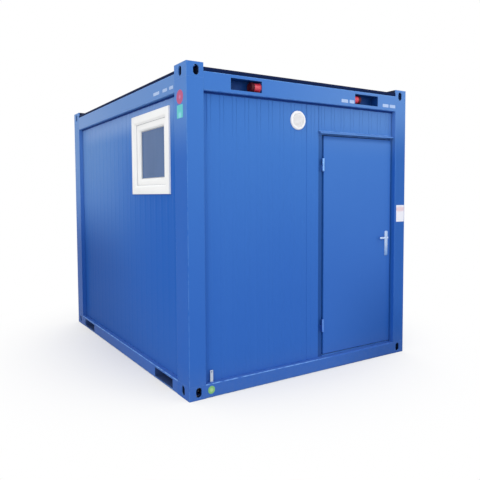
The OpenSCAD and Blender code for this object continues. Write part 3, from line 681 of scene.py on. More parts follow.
# The door leaf takes a painted shadow under the rain rail and a strong painted shade round its edges
door_paint = paint_material("door_paint", gloss=0.32, dust_level=0.12, lined=leaf_half, shine=0.07,
                            grime_reach=0.06, grimed=0.8, dark_top=leaf_high.z)
jamb_paint = paint_material("jamb_paint", gloss=0.32, dust_level=0.12, rubbed=0.5, lined=room_half)
# The side roof beams have a paler top tone: a painted reflection of the sky
side_beam_paint = paint_material("side_beam_paint", faded=colour(0.075, 0.215, 0.545), lined=room_half)
# The rain rail, its sealant and the threshold start from the paler top tone: painted light
rail_paint = paint_material("rail_paint", tone=PAINT_FADED, faded=colour(0.066, 0.205, 0.585), gloss=0.32,
                            dust_level=0.12, rubbed=0.3)
shaded_jamb_paint = paint_material("shaded_jamb_paint", tone=colour(0.018, 0.080, 0.310),
                                   faded=colour(0.033, 0.116, 0.360), gloss=0.36, dust_level=0.12,
                                   rubbed=0.2, lined=room_half, shine=0.04)
# The socket recesses are painted dark as their shade, without the painted light of the outer paint
recess_paint = paint_material("recess_paint", tone=PAINT_RECESS, faded=PAINT_RECESS, gloss=0.45,
                              dust_level=0.15, rubbed=0.3, fade=0.0)
# The fork tunnels are painted dark as their shade, without the painted light of the outer paint
tunnel_paint = paint_material("tunnel_paint", tone=PAINT_SHADE, faded=PAINT_SHADE, gloss=0.6,
                              dust_level=0.25, rubbed=0.3, fade=0.0)

zinc_sheet = metal_material("zinc_sheet", tone=ZINC, bloom=ZINC_BLOOM, crystal_size=70.0, relief=0.0002)
# The hinge below the leaf's middle darkens: painted shade
zinc_hinge = metal_material("zinc_hinge", tone=colour(0.175, 0.37, 0.72), bloom=colour(0.26, 0.49, 0.86),
                            crystal_size=300.0, relief=0.0001,
                            dull=(leaf_middle, 0.1, colour(0.085, 0.23, 0.66)))
zinc_screw = metal_material("zinc_screw", tone=colour(0.60, 0.61, 0.62), bloom=colour(0.74, 0.74, 0.73),
                            crystal_size=300.0, relief=0.0001)
zinc_lug = metal_material("zinc_lug", tone=colour(0.48, 0.56, 0.66), bloom=colour(0.60, 0.66, 0.74),
                          crystal_size=260.0, relief=0.0001)
zinc_roof = roof_material()
# The lock plates darken toward their foot: painted shade
satin_steel = brushed_material("satin_steel", tone=colour(0.50, 0.65, 0.90), worn=colour(0.36, 0.50, 0.76),
                               along=(900, 900, 30), gloss=0.2,
                               dull=(plate_foot, 0.10, colour(0.13, 0.28, 0.60)))
key_nickel = brushed_material("key_nickel", tone=colour(0.60, 0.66, 0.78), worn=colour(0.46, 0.52, 0.64),
                              along=(700, 700, 700), gloss=0.25)

rubber = plastic_material("navy_rubber", tone=NAVY, worn=colour(0.005, 0.018, 0.075),
                          drift=0.5, gloss=0.65, shine=0.06)
# Near black for the inner plates of the top blocks and the slot collars: painted shade
dark_primer = plastic_material("dark_primer", tone=colour(0.004, 0.010, 0.034),
                               worn=colour(0.010, 0.020, 0.050), drift=0.5, gloss=0.6, shine=0.1)
# Dark blue for the strips under the roof beams: painted shadow
head_seal = plastic_material("head_seal", tone=colour(0.009, 0.042, 0.225),
                             worn=colour(0.012, 0.050, 0.250), drift=0.5, gloss=0.6, shine=0.1)
gasket_rubber = plastic_material("gasket_rubber", tone=colour(0.48, 0.50, 0.54),
                                 worn=colour(0.56, 0.58, 0.60), drift=0.4, gloss=0.6, shine=0.3)
lining_board = plastic_material("lining_board", tone=LINING, worn=LINING_WORN, drift=0.4, gloss=0.45,
                                shine=0.4, grain=200.0, relief=0.0001)
window_pvc = plastic_material("window_pvc", tone=colour(0.94, 0.945, 0.945),
                              worn=colour(0.86, 0.86, 0.85), drift=0.2, gloss=0.28)
vent_plastic = plastic_material("vent_plastic", tone=colour(0.92, 0.92, 0.94),
                                worn=colour(0.84, 0.84, 0.85), drift=0.2, gloss=0.35)
vent_mesh = plastic_material("vent_mesh", tone=colour(0.92, 0.92, 0.94),
                             worn=colour(0.86, 0.86, 0.88), drift=0.4, gloss=0.5)
plug_plastic = plastic_material("plug_plastic", tone=colour(0.72, 0.05, 0.09),
                                worn=colour(0.50, 0.03, 0.05), drift=0.4, gloss=0.22)
# Dark red for the lids: a shaded copy of the inlet red, painted shade
lid_plastic = plastic_material("lid_plastic", tone=colour(0.085, 0.005, 0.012),
                               worn=colour(0.050, 0.004, 0.010), drift=0.4, gloss=0.4, shine=0.2)
# Near black for the keyways: painted shade of the slots
dark_slot = plastic_material("keyhole_dark", tone=colour(0.012, 0.012, 0.012),
                             worn=colour(0.03, 0.03, 0.03), drift=0.4, gloss=0.5)
strip_film = plastic_material("pale_strip_film", tone=colour(0.40, 0.54, 0.82),
                              worn=colour(0.28, 0.43, 0.74), drift=0.7, gloss=0.35)
pane_glass = glass_material()
vinyl = vinyl_material()

SLOT_FINISH = {
    "frame_blue": frame_paint, "wall_blue": wall_paint, "door_blue": jamb_paint, "galvanised": zinc_sheet,
    "deck_alloy": vinyl, "black_seal": rubber, "lining_white": lining_board, "lock_steel": satin_steel,
    "key_brass": key_nickel, "window_white": window_pvc, "window_pane": pane_glass,
    "socket_blue": recess_paint, "vent_white": vent_plastic, "plug_red": plug_plastic,
}
NODE_FINISH = {
    "door_leaf": door_paint, "rain_rail": rail_paint, "door_jamb_hinges": shaded_jamb_paint,
    "door_threshold": rail_paint, "floor_beam_front": sill_paint, "floor_beam_back": sill_paint,
    "floor_beam_left": sill_paint, "floor_beam_right": sill_paint, "hinge_frame_halves": zinc_hinge,
    "hinge_leaf_halves": zinc_hinge, "earth_lug": zinc_lug, "roof_sheet": zinc_roof,
    "roof_beam_left": side_beam_paint, "roof_beam_right": side_beam_paint,
    "fork_tunnel_front": tunnel_paint, "fork_tunnel_back": tunnel_paint,
    # The inner plates of the top blocks are dark as painted shade
    "top_block_inner_plates": dark_primer,
}

for subpart in frame["record"]["subparts"]:
    finish = NODE_FINISH.get(subpart["node"], SLOT_FINISH[subpart["material_slot"]])
    mesh = frame["nodes"][subpart["node"]].data
    mesh.materials.clear()
    mesh.materials.append(finish)


# Mesh helpers

def settle(name, mesh, finish, body, stands_for=()):
    """Makes a finished mesh a piece that rides on a body."""
    mesh.polygons.foreach_set("use_smooth", [True] * len(mesh.polygons))
    mesh.set_sharp_from_angle(angle=SMOOTH_ANGLE)
    mesh.materials.clear()
    mesh.materials.append(finish)
    piece = bpy.data.objects.new(name, mesh)
    scene.collection.objects.link(piece)
    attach(piece, body)
    if stands_for:
        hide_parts(*stands_for)
    return piece


def settle_shape(name, shape, finish, body, stands_for=()):
    """Makes a bmesh a piece, with its faces turned outwards."""
    bmesh.ops.remove_doubles(shape, verts=shape.verts, dist=1e-6)
    bmesh.ops.recalc_face_normals(shape, faces=shape.faces)
    mesh = bpy.data.meshes.new(name)
    shape.to_mesh(mesh)
    shape.free()
    return settle(name, mesh, finish, body, stands_for)


def on_face(place, right, up=UP):
    """A frame on an outer face: x to the right along it, y up along it, z out of it."""
    turn = Matrix((right, up, right.cross(up))).transposed().to_4x4()
    return Matrix.Translation(place) @ turn


def loft(shape, loops, closed=False, capped=True):
    """Joins loops of as many points each with quads; closed joins the last loop to the first."""
    rows = [[shape.verts.new(point) for point in loop] for loop in loops]
    count = len(rows[0])
    pairs = list(zip(rows, rows[1:]))
    if closed:
        pairs.append((rows[-1], rows[0]))
    for near, far in pairs:
        for k in range(count):
            following = (k + 1) % count
            shape.faces.new((near[k], near[following], far[following], far[k]))
    if capped and not closed:
        shape.faces.new(rows[0])
        shape.faces.new(rows[-1])


def spokes(axis, segments):
    """Directions all round an axis."""
    side = axis.orthogonal().normalized()
    other = axis.cross(side)
    angles = [2 * math.pi * k / segments for k in range(segments)]
    return [side * math.cos(a) + other * math.sin(a) for a in angles]


def lathe(shape, profile, place, axis, segments=40):
    """A turned form; a profile point is (radius, distance along the axis)."""
    around = spokes(axis, segments)
    loops = [[place + axis * along + spoke * radius for spoke in around] for radius, along in profile]
    loft(shape, loops)


def lathe_ring(shape, profile, place, axis, segments):
    """A turned ring whose profile closes on itself."""
    around = spokes(axis, segments)
    loops = [[place + axis * along + spoke * radius for radius, along in profile] for spoke in around]
    loft(shape, loops, closed=True)


def rounded_outline(width, height, corner, steps=8):
    """The points of a rectangle with round corners, anticlockwise from its right side."""
    points = []
    for quarter, (sx, sy) in enumerate(((1, 1), (-1, 1), (-1, -1), (1, -1))):
        for k in range(steps + 1):
            angle = math.pi / 2 * (quarter + k / steps)
            points.append((sx * (width / 2 - corner) + corner * math.cos(angle),
                           sy * (height / 2 - corner) + corner * math.sin(angle)))
    return points


def rounded_plate(shape, frame_on_face, width, height, corner, thickness, chamfer):
    """A flat plate on a face, with round corners and a chamfered front edge."""
    steps = ((0.0, 0.0), (thickness - chamfer, 0.0), (thickness, chamfer))
    loops = []
    for out, inset in steps:
        outline = rounded_outline(width - 2 * inset, height - 2 * inset, corner - inset)
        loops.append([frame_on_face @ Vector((x, y, out)) for x, y in outline])
    loft(shape, loops)


def mitred_ring(shape, width, height, profile, frame_on_face):
    """A bar profile run round a rectangle with mitred corners; a point is (inward, out of the face)."""
    loops = []
    for sx, sy in ((1, 1), (-1, 1), (-1, -1), (1, -1)):
        loops.append([frame_on_face @ Vector((sx * (width / 2 - inward), sy * (height / 2 - inward), out))
                      for inward, out in profile])
    loft(shape, loops, closed=True)


# Geometry trees for what repeats

def geometry_group(name, takes):
    """A group that grows finished geometry from a seed mesh."""
    takes = [("Geometry", "NodeSocketGeometry", None)] + takes + [("Finish", "NodeSocketMaterial", None)]
    return new_group(name, "GeometryNodeTree", takes, [("Geometry", "NodeSocketGeometry")])


def close_tree(tree, given, out, instances):
    """Ends a tree with plain meshes that have their finish."""
    real = add(tree, "GeometryNodeRealizeInstances", {0: instances}).outputs[0]
    finished = add(tree, "GeometryNodeSetMaterial", {"Geometry": real, "Material": given["Finish"]})
    tree.links.new(finished.outputs[0], out["Geometry"])
    return tree


def facing_turn(tree):
    """The turn from up to the direction that a point faces."""
    facing = add(tree, "GeometryNodeInputNamedAttribute", {"Name": "facing"}, data_type="FLOAT_VECTOR")
    return add(tree, "FunctionNodeAlignRotationToVector", {"Vector": facing.outputs[0]}, axis="Z").outputs[0]


def make_head_tree():
    """Low domed heads of screws and rivets, one on each point, along the point's facing."""
    tree, given, out = geometry_group(
        "fastener_heads", [("Head radius", FLOAT, 0.006), ("Head height", FLOAT, 0.003)])
    dome = add(tree, "GeometryNodeMeshUVSphere", {"Segments": 12, "Rings": 6, "Radius": 1.0}).outputs["Mesh"]
    size = joined(tree, given["Head radius"], given["Head radius"], given["Head height"])
    heads = add(tree, "GeometryNodeInstanceOnPoints",
                {"Points": given["Geometry"], "Instance": dome, "Rotation": facing_turn(tree), "Scale": size})
    return close_tree(tree, given, out, heads.outputs[0])


def make_louvre_tree():
    """Tilted slats across a round opening, each as long as the circle is wide there."""
    tree, given, out = geometry_group(
        "vent_louvres", [("Radius", FLOAT, 0.06), ("Pitch", FLOAT, 0.014), ("Slat depth", FLOAT, 0.014),
                         ("Slat thickness", FLOAT, 0.002), ("Tilt", FLOAT, 0.6), ("Place", VECTOR, None)])
    count = maths(tree, "FLOOR", maths(tree, "DIVIDE", product(tree, given["Radius"], 2.0), given["Pitch"]))
    lowest = product(tree, maths(tree, "SUBTRACT", count, 1.0), -0.5, given["Pitch"])
    start, step = joined(tree, z=lowest), joined(tree, z=given["Pitch"])
    column = add(tree, "GeometryNodeMeshLine", {"Count": count, "Start Location": start, "Offset": step})
    height = parts(tree, add(tree, "GeometryNodeInputPosition").outputs[0])["Z"]
    square = maths(tree, "SUBTRACT", maths(tree, "POWER", given["Radius"], 2.0),
                   maths(tree, "POWER", height, 2.0))
    chord = product(tree, maths(tree, "SQRT", largest(tree, square, 0.0)), 2.0)
    size = joined(tree, chord, given["Slat depth"], given["Slat thickness"])
    turn = joined(tree, given["Tilt"])
    slat = add(tree, "GeometryNodeMeshCube", {"Size": (1, 1, 1)}).outputs["Mesh"]
    slats = add(tree, "GeometryNodeInstanceOnPoints",
                {"Points": column.outputs[0], "Instance": slat, "Rotation": turn, "Scale": size})
    placed = add(tree, "GeometryNodeTransform", {"Geometry": slats.outputs[0], "Translation": given["Place"]})
    return close_tree(tree, given, out, placed.outputs[0])


def make_weld_tree():
    """Overlapping ripples of weld metal along each edge of a mesh."""
    tree, given, out = geometry_group(
        "weld_ripples", [("Bead radius", FLOAT, 0.004), ("Ripple pitch", FLOAT, 0.003)])
    smallest, biggest, seed = 0.8, 1.15, 7
    line = add(tree, "GeometryNodeMeshToCurve", {"Mesh": given["Geometry"]}).outputs[0]
    steps = add(tree, "GeometryNodeResampleCurve", {"Curve": line, "Length": given["Ripple pitch"]},
                mode="LENGTH")
    ripple = add(tree, "GeometryNodeMeshUVSphere", {"Segments": 8, "Rings": 6, "Radius": 1.0}).outputs["Mesh"]
    vary = add(tree, "FunctionNodeRandomValue", {2: smallest, 3: biggest, "Seed": seed}, data_type="FLOAT")
    size = product(tree, vary.outputs[1], given["Bead radius"])
    beads = add(tree, "GeometryNodeInstanceOnPoints",
                {"Points": steps.outputs[0], "Instance": ripple, "Scale": size})
    return close_tree(tree, given, out, beads.outputs[0])


def make_grip_tree():
    """Grip ribs round the rim of a lid, on points that face outwards."""
    tree, given, out = geometry_group(
        "lid_ribs", [("Rib length", FLOAT, 0.01), ("Rib width", FLOAT, 0.003)])
    rib = add(tree, "GeometryNodeMeshCube",
              {"Size": (1, 1, 1), "Vertices X": 3, "Vertices Y": 3}).outputs["Mesh"]
    size = joined(tree, given["Rib length"], given["Rib width"], given["Rib width"])
    ribs = add(tree, "GeometryNodeInstanceOnPoints",
               {"Points": given["Geometry"], "Instance": rib, "Rotation": facing_turn(tree), "Scale": size})
    return close_tree(tree, given, out, ribs.outputs[0])


def grow(name, tree, seed, values, finish, body):
    """Runs a geometry tree on a seed mesh and keeps its result as a plain piece."""
    holder = bpy.data.objects.new(name + "_seed", seed)
    scene.collection.objects.link(holder)
    modifier = holder.modifiers.new("grow", "NODES")
    modifier.node_group = tree
    for socket in tree.interface.items_tree:
        if socket.in_out == "INPUT" and socket.name in values:
            modifier[socket.identifier] = values[socket.name]
        elif socket.in_out == "INPUT" and socket.name == "Finish":
            modifier[socket.identifier] = finish
    depsgraph = bpy.context.evaluated_depsgraph_get()
    mesh = bpy.data.meshes.new_from_object(holder.evaluated_get(depsgraph), depsgraph=depsgraph)
    bpy.data.objects.remove(holder)
    mesh.name = name
    return settle(name, mesh, finish, body)


def facing_points(places):
    """A mesh of loose points, each with the direction that it faces."""
    mesh = bpy.data.meshes.new("points")
    mesh.from_pydata([place for place, _ in places], [], [])
    facing = mesh.attributes.new("facing", "FLOAT_VECTOR", "POINT")
    facing.data.foreach_set("vector", [c for _, direction in places for c in direction])
    return mesh


def between(start, end, count):
    """Evenly spaced points from start to end."""
    return [start.lerp(end, k / (count - 1)) for k in range(count)]


HEADS = make_head_tree()
LOUVRES = make_louvre_tree()
WELDS = make_weld_tree()
GRIPS = make_grip_tree()


# Window

def front_edge(soft, depth):
    """The start of a bar profile: its outer side and the soft edge in front."""
    return [(0.0, -depth), (0.0, -soft), (soft * 0.3, -soft * 0.3), (soft, 0.0)]


def dress_window():
    """A moulded frame and sash with soft edges, and the gaskets round the glass and the sash."""
    low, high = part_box("window_frame")
    sash_low, sash_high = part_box("window_sash")
    glass_low, glass_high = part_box("window_glass")
    centre = (low + high) / 2
    width, height = high.y - low.y, high.z - low.z
    depth = high.x - low.x
    bar = sash_low.y - low.y
    soft, slope = 0.004, 0.016
    outer_face = on_face(Vector((low.x, centre.y, centre.z)), RIGHT_ON_LEFT)
    shape = bmesh.new()
    profile = front_edge(soft, depth) + [
        (bar - slope - soft, 0.0), (bar - slope, -soft * 0.4), (bar - soft * 0.5, -slope * 0.8),
        (bar, -slope), (bar, -depth)]
    mitred_ring(shape, width, height, profile, outer_face)
    settle_shape("window_frame_profile", shape, window_pvc, "cabin", ["window_frame"])

    sash_w, sash_h = sash_high.y - sash_low.y, sash_high.z - sash_low.z
    sash_d = sash_high.x - sash_low.x
    groove, bead = 0.012, 0.012
    sash_bar = (sash_w - (glass_high.y - glass_low.y)) / 2 + groove
    front, back = glass_low.x - sash_low.x, glass_high.x - sash_low.x
    sash_face = on_face(Vector((sash_low.x, centre.y, centre.z)), RIGHT_ON_LEFT)
    shape = bmesh.new()
    profile = front_edge(soft, sash_d) + [
        (sash_bar - bead - soft, 0.0), (sash_bar - bead, -soft * 0.4), (sash_bar - soft * 0.5, -bead),
        (sash_bar, -bead - soft * 0.5), (sash_bar, -front), (sash_bar - groove, -front),
        (sash_bar - groove, -back), (sash_bar, -back), (sash_bar, -sash_d)]
    mitred_ring(shape, sash_w, sash_h, profile, sash_face)
    settle_shape("window_sash_profile", shape, window_pvc, "cabin", ["window_sash"])

    lip, seal_t, tuck, seam = 0.007, 0.0045, 0.001, 0.0028
    shape = bmesh.new()
    for out, turned in ((-front, 1), (-back, -1)):
        crest = out + turned * seal_t
        profile = [(sash_bar - tuck, out), (sash_bar - tuck, crest), (sash_bar + lip * 0.5, crest),
                   (sash_bar + lip, out + turned * seal_t * 0.4), (sash_bar + lip, out)]
        mitred_ring(shape, sash_w, sash_h, profile, sash_face)
    profile = [(-seam * 0.2, -soft), (-seam * 0.2, seam), (seam * 0.5, seam), (seam, seam * 0.3),
               (seam, -soft)]
    mitred_ring(shape, sash_w, sash_h, profile, sash_face)
    settle_shape("window_gaskets", shape, gasket_rubber, "cabin")


# Door furniture

def dress_lock():
    """Rounded lock plates, a bent lever on each side of the leaf and the keyways, dark as painted shade."""
    low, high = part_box("lock_plates")
    lever_low, lever_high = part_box("door_lever")
    key_low, key_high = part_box("key_cylinder")
    plate_w, plate_h = high.x - low.x, high.z - low.z
    plate_t = leaf_low.y - low.y
    centre = (low + high) / 2
    outside = on_face(Vector((centre.x, leaf_low.y, centre.z)), RIGHT_ON_FRONT)
    inside = on_face(Vector((centre.x, leaf_high.y, centre.z)), -RIGHT_ON_FRONT)
    shape = bmesh.new()
    for face in (outside, inside):
        rounded_plate(shape, face, plate_w, plate_h, plate_w * 0.3, plate_t, plate_t * 0.35)
    settle_shape("lock_plates_rounded", shape, satin_steel, "door", ["lock_plates"])

    axis_x = centre.x
    axis_z = (lever_low.z + lever_high.z) / 2
    reach = axis_x - lever_low.x
    half_h = (lever_high.z - lever_low.z) / 2
    bar_t = 0.010
    shape = bmesh.new()
    for side, rim, tip in ((1, low.y, lever_low.y), (-1, high.y, lever_high.y)):
        lever_loft(shape, axis_x, axis_z, rim, tip + side * bar_t / 2, side, reach, half_h, bar_t)
    settle_shape("door_lever_bent", shape, satin_steel, "lever", ["door_lever"])

    collar_r, bore_r = half_h * 1.25, half_h * 0.96
    collar_side, collar_t, collar_edge = 0.002, 0.0035, 0.0015
    profile = [(collar_r, 0.0), (collar_r, collar_side), (collar_r - collar_edge, collar_t),
               (bore_r, collar_t), (bore_r, 0.0)]
    shape = bmesh.new()
    for side, rim in ((-1, low.y), (1, high.y)):
        lathe(shape, profile, Vector((axis_x, rim, axis_z)), Vector((0, side, 0)), 32)
    settle_shape("lever_collars", shape, satin_steel, "door")

    key_w, key_h, key_corner, key_t, key_edge = 0.0016, 0.008, 0.0007, 0.0004, 0.0001
    key_z = (key_low.z + key_high.z) / 2
    shape = bmesh.new()
    for y, right in ((key_low.y, RIGHT_ON_FRONT), (key_high.y, -RIGHT_ON_FRONT)):
        key_face = on_face(Vector((axis_x, y, key_z)), right)
        rounded_plate(shape, key_face, key_w, key_h, key_corner, key_t, key_edge)
    settle_shape("keyways", shape, dark_slot, "door")

    screw_r, screw_h, edge = 0.0035, 0.0016, 0.016
    places = []
    for side, rim in ((-1, low.y), (1, high.y)):
        for z in (low.z + edge, high.z - edge):
            places.append((Vector((axis_x, rim, z)), Vector((0, side, 0))))
    grow("lock_plate_screws", HEADS, facing_points(places), {"Head radius": screw_r, "Head height": screw_h},
         satin_steel, "door")


def lever_loft(shape, axis_x, axis_z, rim, bar_y, side, reach, half_h, bar_t):
    """A round neck that bends into a flat bar toward the hinges and ends in a round tip."""
    neck_r, bend, taper = 0.009, 0.014, 0.001
    bend_steps, bar_steps, tip_steps = 5, 4, 5
    blunt_end, thin_end = 0.97, 0.45
    stations = []
    for share in (0.0, 0.5, 1.0):
        y = rim + (bar_y + side * bend - rim) * share
        stations.append((Vector((axis_x, y, axis_z)), 0.0, neck_r, neck_r))
    for k in range(1, bend_steps + 1):
        share = k / bend_steps
        angle = math.pi / 2 * k / bend_steps
        x = axis_x - bend * (1 - math.cos(angle))
        y = bar_y + side * bend * (1 - math.sin(angle))
        tall = neck_r + (half_h - neck_r) * share
        thick = neck_r + (bar_t / 2 - neck_r) * share
        stations.append((Vector((x, y, axis_z)), angle, tall, thick))
    tip = half_h
    for k in range(1, bar_steps + 1):
        x = axis_x - bend - (reach - bend - tip) * k / bar_steps
        tall = half_h - taper * k / bar_steps
        stations.append((Vector((x, bar_y, axis_z)), math.pi / 2, tall, bar_t / 2))
    for k in range(1, tip_steps + 1):
        angle = math.pi / 2 * min(k / tip_steps, blunt_end)
        x = axis_x - reach + tip - tip * math.sin(angle)
        size = math.cos(angle)
        thick = bar_t / 2 * max(size, thin_end)
        stations.append((Vector((x, bar_y, axis_z)), math.pi / 2, (half_h - taper) * size, thick))
    count = 20
    loops = []
    for spot, angle, tall, thick in stations:
        across = Vector((math.cos(angle), -side * math.sin(angle), 0)).normalized()
        squareness = 0.5 + 0.18 * math.sin(angle)
        loop = []
        for k in range(count):
            a = 2 * math.pi * k / count
            c, s = math.cos(a), math.sin(a)
            flat = math.copysign(abs(c) ** (2 * (1 - squareness)), c) * thick
            rise = math.copysign(abs(s) ** (2 * (1 - squareness)), s) * tall
            loop.append(spot + across * flat + UP * rise)
        loops.append(loop)
    loft(shape, loops)


def dress_hinges():
    """Domed caps on the ends of the hinge barrels."""
    pin = Vector(frame["joints"][0]["pos_m"])
    profile = [(0.0105, -0.001), (0.0105, 0.0015), (0.0085, 0.0035), (0.004, 0.0048), (0.0005, 0.005)]
    for node, body, end in (("hinge_frame_halves", "cabin", -1), ("hinge_leaf_halves", "door", 1)):
        levels = [v.co.z for v in frame["nodes"][node].data.vertices]
        middle = (min(levels) + max(levels)) / 2
        shape = bmesh.new()
        for group in ([z for z in levels if z < middle], [z for z in levels if z >= middle]):
            z = min(group) if end < 0 else max(group)
            lathe(shape, profile, Vector((pin.x, pin.y, z)), Vector((0, 0, end)), 24)
        settle_shape(node.replace("halves", "caps"), shape, zinc_hinge, body)


def dress_door_seal():
    """A soft seal on the stop, just clear of the leaf."""
    seal_r, stop_gap, overlap, foot_gap = 0.0022, 0.005, 0.010, 0.020
    y = leaf_high.y + stop_gap - seal_r
    left, right = leaf_low.x + overlap, leaf_high.x - overlap
    foot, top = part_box("door_jamb_hinges")[0].z + foot_gap, leaf_high.z - overlap
    path = [Vector((x, y, z)) for x, z in ((left, foot), (left, top), (right, top), (right, foot))]
    mitres = (Vector((1, 0, 0)), Vector((1, 0, -1)), Vector((-1, 0, -1)), Vector((-1, 0, 0)))
    inward = Vector((0, 1, 0))
    count = 10
    loops = []
    for spot, across in zip(path, mitres):
        ring = []
        for k in range(count):
            a = 2 * math.pi * k / count
            ring.append(spot + across * math.cos(a) * seal_r + inward * math.sin(a) * seal_r)
        loops.append(ring)
    shape = bmesh.new()
    loft(shape, loops)
    settle_shape("door_seal", shape, rubber, "cabin")


# Fittings

def dress_vent():
    """A white round hood: turned rim, tilted louvres and a fine gauze behind them."""
    low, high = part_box("vent_cover")
    centre = (low + high) / 2
    radius = (high.x - low.x) / 2
    depth = (high.y - low.y) * 0.75
    rim_w = 0.020
    mouth = radius - rim_w
    wall = Vector((centre.x, high.y, centre.z))
    outward = Vector((0, -1, 0))
    shape = bmesh.new()
    profile = [(mouth - 0.002, 0.001), (radius, 0.001), (radius, depth * 0.35), (radius - 0.002, depth * 0.6),
               (radius - 0.007, depth * 0.88), (radius - 0.012, depth), (mouth + 0.003, depth),
               (mouth, depth * 0.9), (mouth - 0.002, depth * 0.6)]
    lathe_ring(shape, profile, wall, outward, 64)
    settle_shape("vent_rim", shape, vent_plastic, "cabin", ["vent_cover"])

    slats = {"Radius": mouth - 0.001, "Pitch": 0.0104, "Slat depth": 0.0130, "Slat thickness": 0.0018,
             "Tilt": 1.05, "Place": wall + outward * depth * 0.55}
    grow("vent_louvres", LOUVRES, bpy.data.meshes.new("seed"), slats, vent_plastic, "cabin")

    shape = bmesh.new()
    profile = [(mouth, 0.001), (mouth, 0.002), (0.002, 0.0025), (0.002, 0.001)]
    lathe_ring(shape, profile, wall, outward, 48)
    settle_shape("vent_gauze", shape, vent_mesh, "cabin")


def dress_plugs():
    """Round red inlets with a dark red ribbed lid, whose darkness is painted shade, and a hinge lug, on the inner
    end walls of the recesses.
    """
    low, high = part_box("power_plugs")
    length, lid = 0.092, 0.030
    lid_r = (high.z - low.z) / 2
    body_r, rim_r = lid_r - 0.006, lid_r - 0.001
    neck = length - lid
    y, z = high.y - lid_r, (low.z + high.z) / 2
    body_profile = [(rim_r, 0.0), (rim_r, 0.008), (lid_r - 0.003, 0.010), (body_r, 0.012),
                    (body_r, 0.030), (body_r - 0.002, 0.032), (body_r - 0.002, 0.040), (body_r, 0.042),
                    (body_r, neck + 0.001), (0.004, neck + 0.001)]
    lid_profile = [(0.004, neck), (lid_r - 0.003, neck), (rim_r, neck + 0.002), (rim_r, length - 0.005),
                   (lid_r - 0.005, length - 0.001), (0.028, length - 0.001), (0.026, length - 0.003),
                   (0.012, length - 0.003), (0.010, length), (0.001, length)]
    lug_back, lug_drop = 0.040, 0.007
    lug_w, lug_h, lug_corner, lug_t, lug_edge = 0.044, 0.018, 0.006, 0.007, 0.003
    rib_count, rib_sink = 24, 0.0015
    bodies, lids = bmesh.new(), bmesh.new()
    rib_places = []
    for inner_x, turned in ((low.x + length, -1), (high.x - length, 1)):
        root = Vector((inner_x, y, z))
        axis = Vector((turned, 0, 0))
        lathe(bodies, body_profile, root, axis)
        lathe(lids, lid_profile, root, axis)
        lug_place = root + axis * (length - lug_back) + UP * (lid_r - lug_drop)
        lug_face = on_face(lug_place, axis, Vector((0, -axis.x, 0)))
        rounded_plate(lids, lug_face, lug_w, lug_h, lug_corner, lug_t, lug_edge)
        for k in range(rib_count):
            a = 2 * math.pi * k / rib_count
            out = Vector((0, math.cos(a), math.sin(a)))
            rib_places.append((root + axis * (length - lid / 2) + out * (lid_r - rib_sink), out))
    settle_shape("power_inlets", bodies, plug_plastic, "cabin", ["power_plugs"])
    settle_shape("power_inlet_lids", lids, lid_plastic, "cabin")
    grow("power_inlet_grips", GRIPS, facing_points(rib_places), {"Rib length": 0.018, "Rib width": 0.0026},
         lid_plastic, "cabin")


def dress_roof():
    """Domed screws along the roof sheet's edges and in the door sill."""
    low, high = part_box("roof_sheet")
    post_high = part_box("post_front_left")[1]
    sill_low, sill_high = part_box("door_threshold")
    edge, past_post, sheet_t, sill_end = 0.028, 0.05, 0.003, 0.06
    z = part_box("roof_seals")[1].z + sheet_t
    end_x, end_y = post_high.x + past_post, post_high.y + past_post
    rows = []
    for y in (low.y + edge, high.y - edge):
        rows.append((Vector((end_x, y, z)), Vector((-end_x, y, z)), 9))
    for x in (low.x + edge, high.x - edge):
        rows.append((Vector((x, end_y, z)), Vector((x, -end_y, z)), 11))
    sill_y = (sill_low.y + sill_high.y) / 2
    rows.append((Vector((sill_low.x + sill_end, sill_y, sill_high.z)),
                 Vector((sill_high.x - sill_end, sill_y, sill_high.z)), 6))
    places = [(place, UP) for start, end, count in rows for place in between(start, end, count)]
    grow("roof_and_sill_screws", HEADS, facing_points(places), {"Head radius": 0.0075, "Head height": 0.0035},
         zinc_screw, "cabin")


def dress_welds():
    """Short weld beads where the beams meet the posts and where the lug stands on its ledge."""
    post_x, post_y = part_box("post_front_left")[1][:2]
    ledge_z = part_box("floor_beam_front")[1].z
    soffit_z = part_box("roof_beam_front")[0].z
    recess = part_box("front_panel_left")[0].y - cad_low.y
    margin = 0.004
    lines = []
    for z in (ledge_z, soffit_z):
        for sx in (-1, 1):
            for sy in (-1, 1):
                lines.append((Vector((-sx * post_x, sy * (cad_high.y - margin), z)),
                              Vector((-sx * post_x, sy * (cad_high.y - recess), z))))
                lines.append((Vector((sx * (cad_high.x - margin), -sy * post_y, z)),
                              Vector((sx * (cad_high.x - recess), -sy * post_y, z))))
    lug_low, lug_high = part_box("earth_lug")
    for y in (lug_low.y, lug_high.y):
        lines.append((Vector((lug_low.x, y, ledge_z)), Vector((lug_high.x, y, ledge_z))))
    seed = bpy.data.meshes.new("weld_lines")
    seed.from_pydata([p for line in lines for p in line], [(2 * k, 2 * k + 1) for k in range(len(lines))], [])
    grow("weld_beads", WELDS, seed, {"Bead radius": 0.0034, "Ripple pitch": 0.0028}, frame_paint,
         "cabin")


